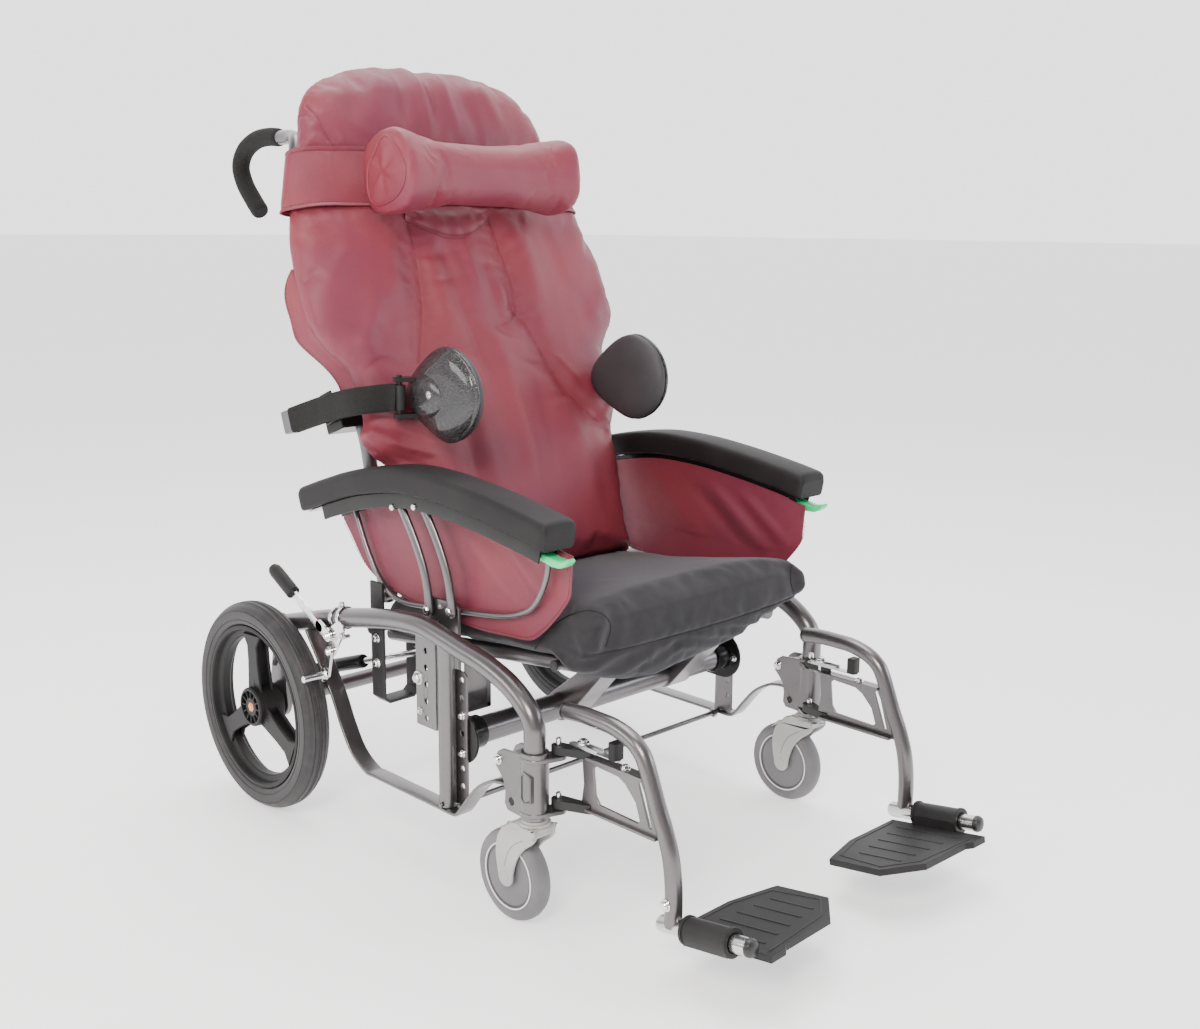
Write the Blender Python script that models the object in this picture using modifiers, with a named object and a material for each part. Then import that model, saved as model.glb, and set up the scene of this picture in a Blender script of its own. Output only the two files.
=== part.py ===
"""Scoot chair: a tilting wheelchair with drop arms, swing-away leg rests, head roll and lateral supports.

Metres, +Z up, the floor at z = 0. The front is -Y, the sitter's left is +X. Y counts from the middle of the
chair's length, and the lengths below count from the caster stems. Paired pieces are modelled on the left.
"""

import math

import bmesh
import bpy
from mathutils import Matrix, Vector

for old in list(bpy.data.objects):
    bpy.data.objects.remove(old, do_unlink=True)

# Fits
GAP = 0.0003
RUNNING = 0.0005
PIN_PLAY = 0.0006
STEM_SETBACK = 0.246

# Base frame
FRAME_HALF_WIDTH = 0.287
FRAME_TUBE = 0.0286
HOUSING_TOP = 0.244
HOUSING_BOTTOM = 0.154
HOUSING_RADIUS = 0.0185
EAR_HALF_THICKNESS = 0.011
EAR_BACK = 0.040
POST_Y = 0.178
POST_BOTTOM = 0.1140
POST_TUBE = 0.025
PLATE_THICKNESS = 0.003
HOLE_PITCH = 0.0253
HOLE = 0.008
LOWEST_HOLE = 0.145
STRAP_WIDTH = 0.027
STRAP_THICKNESS = 0.0045
TIE_ROD = 0.008
RAIL_FRONT = 0.222
RAIL_BACK = 0.267
RAIL_TOP = 0.364
RAIL_BOTTOM = 0.205
RAIL_DEPTH = 0.009
RAIL_WEB = 0.003

# Wheels
WHEELBASE = 0.590
REAR_RADIUS = 0.163
RIM_RADIUS = 0.128
RIM_INNER = 0.110
RIM_WIDTH = 0.038
TYRE_WIDTH = 0.045
TYRE_INNER_X = FRAME_HALF_WIDTH + 0.018
HUB_RADIUS = 0.032
STUB_AXLE = 0.012
AXLE_TUBE = 0.025
AXLE_PLATE = 0.010
CASTER_RADIUS = 0.0625
CASTER_WIDTH = 0.026
CASTER_TRAIL = 0.040
CASTER_AXLE = 0.008
STEM = 0.012
FORK_LEG = 0.005
WHEEL_SIDES = 28

# Leg rests
HANGER_X = FRAME_HALF_WIDTH - 0.0395
HANGER_TUBE = 0.022
HINGE_X = FRAME_HALF_WIDTH - 0.025
HINGE_Y = -0.018
HINGE_PIN = 0.008
EYE_RADIUS = 0.0100
FOOT_TUBE_X = FRAME_HALF_WIDTH - 0.041
FOOT_SLOPE = math.radians(9.0)
FOOT_BACK = (-0.189, 0.065)
FOOT_TUBE_LENGTH = 0.143
FOOT_TUBE_SIDES = 10
FOOTPLATE = 0.009
FOOTPLATE_DROP = 0.015
SLEEVE = 0.034
WEB = 0.004
LATCH_BAR = 0.005

# Seat, which tilts about the cross tube
TILT_Y = 0.168
TILT_Z = 0.213
CROSS_TUBE = 0.038
CROSS_HALF = FRAME_HALF_WIDTH - 0.036
CROSS_SIDES = 12
BOSS_RADIUS = 0.0225
BOSS_INNER_X = FRAME_HALF_WIDTH - 0.047
BRACKET_INNER_X = FRAME_HALF_WIDTH - 0.017
SEAT_RAIL = 0.022
SEAT_RAIL_X = FRAME_HALF_WIDTH - 0.097
SEAT_HALF = FRAME_HALF_WIDTH - 0.053
SEAT_FRONT = -0.042
SEAT_BACK = 0.398
SEAT_UNDER = 0.3456
SEAT_UNDER_FALL = 0.114
SEAT_TOP = SEAT_UNDER + 0.0664
SEAT_TOP_FALL = 0.1657
SEAT_CROWN = 0.016
CROSS_MEMBER = 0.015
STIFFENER = 0.006
LINK_PLATE = 0.043
LINK_PLATES = (-0.070, 0.150)
REAR_MEMBER_Y = 0.431
REAR_MEMBER_Z = SEAT_UNDER - 0.0456

# Arms: each pad, channel, wire and panel ride on two parallel links
PANEL_X = FRAME_HALF_WIDTH - 0.0487
PANEL = 0.0035
WIRE_X = FRAME_HALF_WIDTH - 0.0425
WIRE = 0.008
CARRIER = 0.0048
CARRIER_X = FRAME_HALF_WIDTH - 0.0377
LINK = 0.008
LINK_X = FRAME_HALF_WIDTH - 0.0325
LINK_HALF_WIDTH = 0.0075
FRONT_PIVOT = (0.201, SEAT_TOP - 0.031)
REAR_PIVOT = (0.251, SEAT_TOP - 0.039)
LINK_RISE = (0.061, 0.137)
ARM_PIN = 0.008
TOP_PIN = 0.006
ARM_LEVER_PIVOT = (0.013, SEAT_TOP + 0.080)
ARM_LEVER_PIN = 0.004
CHANNEL_IN = FRAME_HALF_WIDTH - 0.0462
CHANNEL_OUT = FRAME_HALF_WIDTH - 0.0132
CHANNEL_WALL = 0.003
PAD_IN = FRAME_HALF_WIDTH - 0.06
PAD_OUT = FRAME_HALF_WIDTH - 0.002

# Tilt gas spring
SPRING_X = FRAME_HALF_WIDTH - 0.069
SPRING_BASE = (WHEELBASE, 0.198)
SPRING_SEAT = (0.300, SEAT_UNDER - 0.0516)
SPRING_CYLINDER = 0.022
SPRING_ROD = 0.010
SPRING_FREE = 0.1233
SPRING_PIN = 0.008
OPEN_PLAY = 0.0026

# Back
BACK_ANGLE = math.radians(21.3)
BACK_BASE = (0.330, SEAT_TOP + 0.008)
BACK_HEIGHT = 0.774
CANE = 0.025
CANE_X = FRAME_HALF_WIDTH - 0.084
RECLINE_Y = 0.430
RECLINE_Z = REAR_MEMBER_Z + 0.050
RECLINE_PIN = 0.010
GRIP = 0.028
GRIP_X = CANE_X - 0.013
TOP_BAR_HALF = CANE_X + 0.002
CLAMP_X = CANE_X + 0.0285
CLAMP = 0.057
BAR_END_Y = 0.563
PAD_HINGE_X = FRAME_HALF_WIDTH - 0.065
PAD_HINGE_Y = 0.361
PAD_MIDDLE_Y = PAD_HINGE_Y - 0.056
HANDLE_TUBE = 0.022
BACK_LOW = -0.040
BACK_LOW_HALF = 0.204
BACK_WAIST_HALF = 0.222
BACK_BAR_HALF = 0.252
BACK_SHOULDER_HALF = 0.298
BACK_HALF_DEPTH = 0.032
BACK_CROWN = 0.012
BACK_CHANNEL_X = 0.090
BACK_FRONT = BACK_HALF_DEPTH + BACK_CROWN
STRAP_LOW = 0.53
STRAP_OFFSET = 0.001
HEAD_STRAP = 0.09
HEAD_STRAP_THICKNESS = 0.002
ROLL_WAIST = 0.052
ROLL_HALF_LENGTH = 0.184
ROLL_HEIGHT = 0.558

# Brakes
BRAKE_PLATE_X = FRAME_HALF_WIDTH + 0.015
BRAKE_PLATE = 0.004
LEVER_X = BRAKE_PLATE_X + BRAKE_PLATE + 0.0004
LEVER = 0.005
LEVER_PIVOT = (WHEELBASE - 0.160, 0.305)
SHOE_PIVOT = (WHEELBASE - 0.162, 0.281)
SHOE_ROD = 0.010
SHOE_CLEARANCE = 0.006
BRAKE_PIN = 0.006

LOCAL_YZ = Matrix(((0, 0, 1), (1, 0, 0), (0, 1, 0))).to_4x4()

chair = bpy.data.collections.new("scoot_chair")
cutters = bpy.data.collections.new("cutters")
bpy.context.scene.collection.children.link(chair)
bpy.context.scene.collection.children.link(cutters)


def at(x, y, z):
    """A point whose y counts back from the caster stems."""
    return Vector((x, y - STEM_SETBACK, z))


def material(name, colour, roughness, metallic=0.0):
    made = bpy.data.materials.new(name)
    made.use_nodes = True
    shader = made.node_tree.nodes["Principled BSDF"]
    shader.inputs["Base Color"].default_value = (*colour, 1)
    shader.inputs["Roughness"].default_value = roughness
    shader.inputs["Metallic"].default_value = metallic
    made.diffuse_color = (*colour, 1)
    return made


PAINT = material("grey_paint", (0.20, 0.18, 0.17), 0.35, 0.7)
BLACK = material("black_metal", (0.02, 0.02, 0.02), 0.4, 0.3)
CHROME = material("chrome", (0.7, 0.7, 0.7), 0.15, 1.0)
RUBBER = material("tyre_rubber", (0.09, 0.08, 0.08), 0.8)
GREY_RUBBER = material("grey_rubber", (0.35, 0.35, 0.36), 0.7)
PLASTIC = material("black_plastic", (0.03, 0.03, 0.03), 0.5)
PALE_PLASTIC = material("pale_plastic", (0.6, 0.59, 0.58), 0.45)
MOULDED = material("moulded_pad", (0.035, 0.03, 0.03), 0.6)
FOAM = material("black_foam", (0.02, 0.02, 0.02), 0.9)
VINYL = material("burgundy_vinyl", (0.25, 0.05, 0.06), 0.45)
CLOTH = material("black_cloth", (0.04, 0.038, 0.04), 0.9)
GREEN = material("green_plastic", (0.02, 0.6, 0.15), 0.4)


def new_object(name, data, collection=cutters):
    made = bpy.data.objects.new(name, data)
    collection.objects.link(made)
    return made


def baked(source):
    """A plain mesh object in world space, made from a curve or from an object with modifiers."""
    bpy.context.view_layer.update()
    graph = bpy.context.evaluated_depsgraph_get()
    mesh = bpy.data.meshes.new_from_object(source.evaluated_get(graph))
    mesh.transform(source.matrix_world)
    bpy.data.objects.remove(source, do_unlink=True)
    shape = bmesh.new()
    shape.from_mesh(mesh)
    bmesh.ops.remove_doubles(shape, verts=shape.verts, dist=1e-6)
    bmesh.ops.recalc_face_normals(shape, faces=shape.faces)
    shape.to_mesh(mesh)
    shape.free()
    return new_object("shape", mesh)


def from_bmesh(shape, matrix=None):
    mesh = bpy.data.meshes.new("shape")
    if matrix is not None:
        bmesh.ops.transform(shape, matrix=matrix, verts=shape.verts)
    bmesh.ops.recalc_face_normals(shape, faces=shape.faces)
    shape.to_mesh(mesh)
    shape.free()
    return new_object("shape", mesh)


def through(points, steps=3):
    """Points on a smooth curve through the given ones."""
    knots = [Vector(p) for p in points]
    knots = [2 * knots[0] - knots[1], *knots, 2 * knots[-1] - knots[-2]]
    found = []
    for a, b, c, d in zip(knots, knots[1:], knots[2:], knots[3:]):
        for step in range(steps):
            t = step / steps
            found.append(
                0.5 * (2 * b + (c - a) * t + (2 * a - 5 * b + 4 * c - d) * t**2 + (3 * b - a - 3 * c + d) * t**3)
            )
    return [*found, knots[-2]]


def tube(points, diameter, resolution=2):
    """A round bar along the points, with 4 + 2 x resolution sides."""
    data = bpy.data.curves.new("tube", "CURVE")
    data.dimensions = "3D"
    data.bevel_depth = diameter / 2
    data.bevel_resolution = resolution
    data.use_fill_caps = True
    line = data.splines.new("POLY")
    line.points.add(len(points) - 1)
    for point, place in zip(line.points, points):
        point.co = (*place, 1)
    return baked(new_object("tube", data))


def flat_tube(x, path, diameter, resolution=2, steps=3):
    """A tube in a fore-and-aft plane, along a smooth curve through (y, z) points."""
    return tube(through([at(x, y, z) for y, z in path], steps), diameter, resolution)


def cross_bar(x0, x1, y, z, diameter, resolution=2):
    return tube([at(x0, y, z), at(x1, y, z)], diameter, resolution)


def box(low, high):
    shape = bmesh.new()
    low, high = at(*low), at(*high)
    size = [b - a for a, b in zip(low, high)]
    place = Matrix.Translation((low + high) / 2) @ Matrix.Diagonal((*size, 1))
    bmesh.ops.create_cube(shape, size=1, matrix=place)
    return from_bmesh(shape)


def plate(outline, x0, x1):
    """A flat plate in a fore-and-aft plane from x0 to x1, with a (y, z) outline."""
    data = bpy.data.curves.new("plate", "CURVE")
    data.dimensions = "2D"
    data.fill_mode = "BOTH"
    data.extrude = (x1 - x0) / 2
    line = data.splines.new("POLY")
    line.points.add(len(outline) - 1)
    line.use_cyclic_u = True
    for point, (y, z) in zip(line.points, outline):
        point.co = (y - STEM_SETBACK, z, 0, 1)
    made = new_object("plate", data)
    made.matrix_world = Matrix.Translation(((x0 + x1) / 2, 0, 0)) @ LOCAL_YZ
    return baked(made)


def circle(y, z, radius, count=10, start=0.0, sweep=2 * math.pi):
    closed = sweep >= 2 * math.pi - 1e-6
    steps = count if closed else count - 1
    angles = [start + sweep * i / steps for i in range(count)]
    return [(y + radius * math.cos(a), z + radius * math.sin(a)) for a in angles]


def hull(points):
    shape = bmesh.new()
    for point in points:
        shape.verts.new(point)
    made = bmesh.ops.convex_hull(shape, input=shape.verts)
    loose = {v for v in made["geom_interior"] + made["geom_unused"] if isinstance(v, bmesh.types.BMVert)}
    bmesh.ops.delete(shape, geom=list(loose), context="VERTS")
    bmesh.ops.dissolve_limit(shape, angle_limit=0.001, verts=shape.verts, edges=shape.edges)
    return from_bmesh(shape)


def lens(ends, x0, x1, count=10):
    """A plate in a fore-and-aft plane, wrapped round circles given as (y, z, radius)."""
    flat = [p for y, z, radius in ends for p in circle(y, z, radius, count)]
    return hull([at(x, y, z) for x in (x0, x1) for y, z in flat])


def level_lens(ends, z0, z1, count=10):
    """A level plate from z0 to z1, wrapped round circles given as (x, y, radius)."""
    flat = [p for x, y, radius in ends for p in circle(x, y, radius, count)]
    return hull([at(x, y, z) for z in (z0, z1) for x, y in flat])


def turned(profile, x_axis_y, x_axis_z, steps, closed=False):
    """A shape turned about an axis along X. The profile is (radius, x) points."""
    mesh = bpy.data.meshes.new("turned")
    count = len(profile)
    edges = [(i, i + 1) for i in range(count - 1)]
    if closed:
        edges.append((count - 1, 0))
    mesh.from_pydata([(radius, 0, x) for radius, x in profile], edges, [])
    made = new_object("turned", mesh)
    screw = made.modifiers.new("screw", "SCREW")
    screw.steps = screw.render_steps = steps
    screw.use_merge_vertices = True
    screw.merge_threshold = 0.00001
    turn = Matrix.Rotation(math.pi / steps, 4, "X") @ Matrix.Rotation(math.pi / 2, 4, "Y")
    made.matrix_world = Matrix.Translation(at(0, x_axis_y, x_axis_z)) @ turn
    return baked(made)


def flats(radius, steps):
    """The corner radius of a turned shape whose flat sides lie at the given radius."""
    return radius / math.cos(math.pi / steps)


def combined(target, others, operation):
    for other in others:
        change = target.modifiers.new("change", "BOOLEAN")
        change.operation = operation
        change.solver = "EXACT"
        change.object = other
    made = baked(target)
    for other in others:
        bpy.data.objects.remove(other, do_unlink=True)
    return made


def joined(first, *others):
    for other in others:
        first = combined(first, [other], "UNION")
    return first


def cut(target, *others):
    return combined(target, list(others), "DIFFERENCE")


def mirrored(source):
    mesh = source.data.copy()
    mesh.transform(Matrix.Diagonal((-1, 1, 1, 1)))
    mesh.flip_normals()
    return new_object("shape", mesh)


def keep(name, shape, look, origin):
    """Files a finished shape as a named piece, with its origin at the given world point."""
    shape.name = name
    shape.data.name = name
    shape.data.materials.clear()
    shape.data.materials.append(look)
    shape.data.transform(Matrix.Translation(-origin))
    shape.location = origin
    for face in shape.data.polygons:
        face.use_smooth = True
    shape.data.set_sharp_from_angle(angle=math.radians(35))
    cutters.objects.unlink(shape)
    chair.objects.link(shape)
    return shape


def keep_pair(name, shape, look, origin):
    other = mirrored(shape)
    keep(name + "_left", shape, look, origin)
    keep(name + "_right", other, look, Vector((-origin.x, origin.y, origin.z)))


def loft(rings):
    """A closed skin over rings of equally many points, with flat ends."""
    shape = bmesh.new()
    rows = [[shape.verts.new(p) for p in ring] for ring in rings]
    for low, high in zip(rows, rows[1:]):
        for i in range(len(low)):
            j = (i + 1) % len(low)
            shape.faces.new((low[i], low[j], high[j], high[i]))
    shape.faces.new(rows[0][::-1])
    shape.faces.new(rows[-1])
    return from_bmesh(shape)


def smooth(low, high, value):
    t = min(1.0, max(0.0, (value - low) / (high - low)))
    return t * t * (3 - 2 * t)


# The side frame's line, as (y, z) of the tube's middle
FRAME_PATH = (
    (WHEELBASE - 0.016, 0.290),
    (WHEELBASE - 0.152, 0.326),
    (WHEELBASE - 0.252, 0.347),
    ((WHEELBASE - 0.032) / 2, 0.3565),
    (0.220, 0.358),
    (0.147, 0.345),
    (0.090, 0.334),
    (0.045, 0.318),
    (0.013, 0.296),
    (0.001, 0.276),
    (0.0, 0.260),
    (0.0, HOUSING_TOP + GAP),
)
BRAKE_CLAMP = ((WHEELBASE - 0.196, 0.3360), (WHEELBASE - 0.172, 0.3312))
frame_inner_x = FRAME_HALF_WIDTH - FRAME_TUBE / 2
post_plate_x = frame_inner_x + 0.0018


def frame_line(extra=0.0):
    return flat_tube(FRAME_HALF_WIDTH, FRAME_PATH, FRAME_TUBE + 2 * extra, 4, 2)


def base_frame():
    keep_pair("frame_tube", frame_line(), PAINT, at(FRAME_HALF_WIDTH, 0, HOUSING_TOP))

    post = tube([at(FRAME_HALF_WIDTH, POST_Y, POST_BOTTOM), at(FRAME_HALF_WIDTH, POST_Y, 0.352)], POST_TUBE, 3)
    front = POST_Y - 0.030
    top = LOWEST_HOLE + 6 * HOLE_PITCH + 0.012
    strip = box((post_plate_x, front, POST_BOTTOM + 0.003), (post_plate_x + PLATE_THICKNESS, POST_Y, top))
    post = joined(post, strip)
    holes = [
        cross_bar(post_plate_x - 0.01, post_plate_x + 0.01, front + 0.010, LOWEST_HOLE + i * HOLE_PITCH, HOLE, 1)
        for i in range(7)
    ]
    post = cut(post, frame_line(GAP), *holes)
    keep_pair("post", post, PAINT, at(FRAME_HALF_WIDTH, POST_Y, POST_BOTTOM))

    half = STRAP_THICKNESS / 2
    under = POST_BOTTOM - GAP - half
    front_end = EAR_BACK + GAP
    behind = [(-0.085, 0.296), (-0.146, 0.214), (-0.173, 0.166), (-0.198, 0.132), (-0.232, under + 0.001)]
    path = [(WHEELBASE + y, z) for y, z in [*behind, (-0.260, under)]]
    path += [(POST_Y + 0.012, under), (POST_Y - 0.024, under), (0.142, 0.118), (0.122, 0.143), (0.100, 0.167)]
    path += [(0.074, 0.183), (0.055, 0.188), (front_end, 0.189)]
    strap = strap_along(path, FRAME_HALF_WIDTH - STRAP_WIDTH / 2, FRAME_HALF_WIDTH + STRAP_WIDTH / 2, STRAP_THICKNESS)
    strap = cut(strap, frame_line(GAP))
    end = FRAME_HALF_WIDTH - STRAP_WIDTH / 2 + 0.0005
    tie_rod = cross_bar(-end, end, POST_Y, under, TIE_ROD)
    keep("lower_frame", joined(strap, mirrored(strap), tie_rod), PAINT, at(0, POST_Y, under))

    outer = frame_inner_x - GAP
    inner = outer - RAIL_DEPTH
    rail = box((inner, RAIL_FRONT, RAIL_BOTTOM), (outer, RAIL_BACK, RAIL_TOP))
    slot = box(
        (inner - 0.01, RAIL_FRONT + 0.014, RAIL_BOTTOM - 0.01), (outer - RAIL_WEB, RAIL_BACK - 0.014, RAIL_TOP + 0.01)
    )
    middle = (RAIL_FRONT + RAIL_BACK) / 2
    holes = [
        cross_bar(outer - 2 * RAIL_WEB, outer + 0.01, middle, RAIL_BOTTOM + 0.014 + i * 0.0245, HOLE, 1)
        for i in range(4)
    ]
    rail = cut(rail, slot, *holes)
    keep_pair("height_rail", rail, PAINT, at(outer, middle, RAIL_TOP))


def strap_along(path, x0, x1, thickness):
    """A bent flat bar: an open ribbon across the path, given its thickness by Solidify."""
    line = through([at(0, y, z) for y, z in path], 2)
    mesh = bpy.data.meshes.new("ribbon")
    points = [(x, p.y, p.z) for p in line for x in (x0, x1)]
    faces = [(2 * i, 2 * i + 1, 2 * i + 3, 2 * i + 2) for i in range(len(line) - 1)]
    mesh.from_pydata(points, [], faces)
    made = new_object("ribbon", mesh)
    solid = made.modifiers.new("thickness", "SOLIDIFY")
    solid.thickness = thickness
    solid.offset = 0
    solid.use_even_offset = True
    return baked(made)


def housings():
    stem_x = FRAME_HALF_WIDTH
    body = tube([at(stem_x, 0, HOUSING_BOTTOM), at(stem_x, 0, HOUSING_TOP)], 2 * HOUSING_RADIUS, 4)
    outline = [(0, 0.158), (EAR_BACK, 0.158), (EAR_BACK, 0.200), (0.056, 0.208), (0.056, 0.224), (0.042, 0.236)]
    ear = plate([*outline, (0, 0.240)], stem_x - EAR_HALF_THICKNESS, stem_x + EAR_HALF_THICKNESS)
    upper = level_lens(((stem_x, 0, 0.014), (HINGE_X, HINGE_Y, EYE_RADIUS)), 0.2320, 0.2380)
    lower = level_lens(((stem_x, 0, 0.014), (HINGE_X, HINGE_Y, EYE_RADIUS)), 0.1590, 0.1650)
    high_pin = tube([at(HINGE_X, HINGE_Y, 0.233), at(HINGE_X, HINGE_Y, 0.260)], HINGE_PIN)
    low_pin = tube([at(HINGE_X, HINGE_Y, 0.160), at(HINGE_X, HINGE_Y, 0.186)], HINGE_PIN)
    body = joined(body, ear, upper, lower, high_pin, low_pin)
    body = cut(body, tube([at(stem_x, 0, 0.1), at(stem_x, 0, HOUSING_TOP - 0.008)], STEM + 2 * PIN_PLAY))
    keep_pair("caster_housing", body, PAINT, at(stem_x, 0, HOUSING_TOP))


def casters():
    stem_x = FRAME_HALF_WIDTH
    crown = HOUSING_BOTTOM - RUNNING
    inner = CASTER_WIDTH / 2 + RUNNING
    outer = inner + FORK_LEG
    leg_shape = ((CASTER_TRAIL, CASTER_RADIUS, 0.013), (0.022, 0.122, 0.016), (0.002, crown - 0.014, 0.0135))
    fork = tube([at(stem_x, 0, crown - 0.012), at(stem_x, 0, HOUSING_TOP - 0.012)], STEM)
    cap = turned_up([(0.018, crown - 0.018), (0.021, crown - 0.010), (0.0165, crown)], stem_x, 0, 12)
    bridge = box((stem_x - outer, -0.013, 2 * CASTER_RADIUS + 0.004), (stem_x + outer, 0.024, crown - 0.004))
    legs = [lens(leg_shape, stem_x + side * inner, stem_x + side * outer, 8) for side in (-1, 1)]
    axle = cross_bar(stem_x - outer - 0.002, stem_x + outer + 0.002, CASTER_TRAIL, CASTER_RADIUS, CASTER_AXLE)
    fork = joined(fork, cap, bridge, *legs, axle)
    keep_pair("caster_fork", fork, PALE_PLASTIC, at(stem_x, 0, crown))

    half = CASTER_WIDTH / 2
    steps = 20
    full = flats(CASTER_RADIUS, steps)
    bore = flats(CASTER_AXLE / 2 + PIN_PLAY, steps)
    profile = [
        (bore, stem_x + half),
        (full - 0.007, stem_x + half),
        (full, stem_x + half - 0.007),
        (full, stem_x - half + 0.007),
        (full - 0.007, stem_x - half),
        (bore, stem_x - half),
    ]
    wheel = turned(profile, CASTER_TRAIL, CASTER_RADIUS, steps, closed=True)
    keep_pair("caster_wheel", wheel, GREY_RUBBER, at(stem_x, CASTER_TRAIL, CASTER_RADIUS))


def turned_up(profile, x, y, steps):
    """A solid turned about an upright axis. The profile is (radius, z) points from low to high."""
    ends = [(0, profile[0][1]), *profile, (0, profile[-1][1])]
    mesh = bpy.data.meshes.new("turned")
    mesh.from_pydata([(r, 0, z) for r, z in ends], [(i, i + 1) for i in range(len(ends) - 1)], [])
    made = new_object("turned", mesh)
    screw = made.modifiers.new("screw", "SCREW")
    screw.steps = screw.render_steps = steps
    screw.use_merge_vertices = True
    screw.merge_threshold = 0.00001
    made.matrix_world = Matrix.Translation(at(x, y, 0))
    return baked(made)


def rear_wheels():
    outer = TYRE_INNER_X + TYRE_WIDTH
    full = flats(REAR_RADIUS, WHEEL_SIDES)
    seat = RIM_RADIUS
    profile = [
        (seat, outer - 0.003),
        (full - 0.013, outer),
        (full, outer - 0.012),
        (full, TYRE_INNER_X + 0.012),
        (full - 0.013, TYRE_INNER_X),
        (seat, TYRE_INNER_X + 0.003),
    ]
    tyre = turned(profile, WHEELBASE, REAR_RADIUS, WHEEL_SIDES, closed=True)
    keep_pair("rear_tyre", tyre, RUBBER, at(TYRE_INNER_X, WHEELBASE, REAR_RADIUS))

    middle = TYRE_INNER_X + TYRE_WIDTH / 2
    low, high = middle - RIM_WIDTH / 2, middle + RIM_WIDTH / 2
    edge = RIM_RADIUS - 2 * GAP
    rim_profile = [(RIM_INNER, high), (edge, high), (edge, low), (RIM_INNER, low)]
    rim = turned(rim_profile, WHEELBASE, REAR_RADIUS, WHEEL_SIDES, closed=True)
    hub = cross_bar(TYRE_INNER_X, outer + 0.002, WHEELBASE, REAR_RADIUS, 2 * HUB_RADIUS, 5)
    spokes = []
    for i in range(3):
        angle = math.radians(87 + 120 * i)
        reach = RIM_INNER + 0.006
        tip_y = WHEELBASE + reach * math.cos(angle)
        tip_z = REAR_RADIUS + reach * math.sin(angle)
        spoke = lens(((WHEELBASE, REAR_RADIUS, 0.016), (tip_y, tip_z, 0.010)), middle - 0.011, middle + 0.013, 8)
        spokes.append(spoke)
    rim = joined(rim, hub, *spokes)
    bore = cross_bar(TYRE_INNER_X - 0.01, outer - 0.004, WHEELBASE, REAR_RADIUS, STUB_AXLE + 2 * PIN_PLAY)
    rim = cut(rim, bore)
    keep_pair("rear_rim", rim, PLASTIC, at(TYRE_INNER_X, WHEELBASE, REAR_RADIUS))


def rear_axle():
    plate_in = FRAME_HALF_WIDTH + 0.003
    plate_out = plate_in + AXLE_PLATE
    axle = cross_bar(-plate_out + 0.001, plate_out - 0.001, WHEELBASE, REAR_RADIUS, AXLE_TUBE, 4)
    for side in (-1, 1):
        tip_y, tip_z = FRAME_PATH[0]
        ends = ((WHEELBASE, REAR_RADIUS, 0.026), (tip_y + 0.005, tip_z + 0.002, 0.014))
        low, high = sorted((side * plate_in, side * plate_out))
        stub = cross_bar(side * plate_in, side * (TYRE_INNER_X + TYRE_WIDTH - 0.008), WHEELBASE, REAR_RADIUS, STUB_AXLE)
        axle = joined(axle, lens(ends, low, high), stub)
        grown = [at(side * FRAME_HALF_WIDTH, y, z) for y, z in FRAME_PATH[:2]]
        back = (grown[0] - grown[1]).normalized()
        axle = cut(axle, tube([grown[1], grown[0] + GAP * back], FRAME_TUBE + 2 * GAP, 4))
    lug_x = -SPRING_X + SPRING_CYLINDER / 2 + RUNNING
    y, z = SPRING_BASE
    lug = lens(((WHEELBASE, REAR_RADIUS, 0.011), (y, z, 0.009)), lug_x, lug_x + 0.006)
    axle = joined(axle, lug, cross_bar(-SPRING_X - 0.0105, lug_x + 0.003, y, z, SPRING_PIN))
    keep("rear_axle", axle, PAINT, at(0, WHEELBASE, REAR_RADIUS))


def cross_tube_brackets():
    outer = post_plate_x - GAP
    flat = circle(TILT_Y, TILT_Z, 0.038, 9, math.radians(90), math.radians(180))
    outline = [*flat, (TILT_Y + 0.032, TILT_Z - 0.038), (TILT_Y + 0.032, TILT_Z + 0.038)]
    disc = hull([at(x, y, z) for x in (BRACKET_INNER_X, outer) for y, z in outline])
    boss = cross_bar(BOSS_INNER_X, BRACKET_INNER_X + 0.001, TILT_Y, TILT_Z, 2 * BOSS_RADIUS, 4)
    bracket = joined(disc, boss)
    inside = 2 * (flats(CROSS_TUBE / 2, CROSS_SIDES) + GAP)
    bore = cross_bar(BOSS_INNER_X - 0.01, CROSS_HALF + RUNNING, TILT_Y, TILT_Z, inside, 4)
    keep_pair("cross_tube_bracket", cut(bracket, bore), BLACK, at(BRACKET_INNER_X, TILT_Y, TILT_Z))


def hanger_point(distance, lift=0.0):
    """(y, z) along the sloping foot tube, with a lift square to it."""
    y = FOOT_BACK[0] - distance * math.cos(FOOT_SLOPE) + lift * math.sin(FOOT_SLOPE)
    return y, FOOT_BACK[1] + distance * math.sin(FOOT_SLOPE) + lift * math.cos(FOOT_SLOPE)


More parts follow.
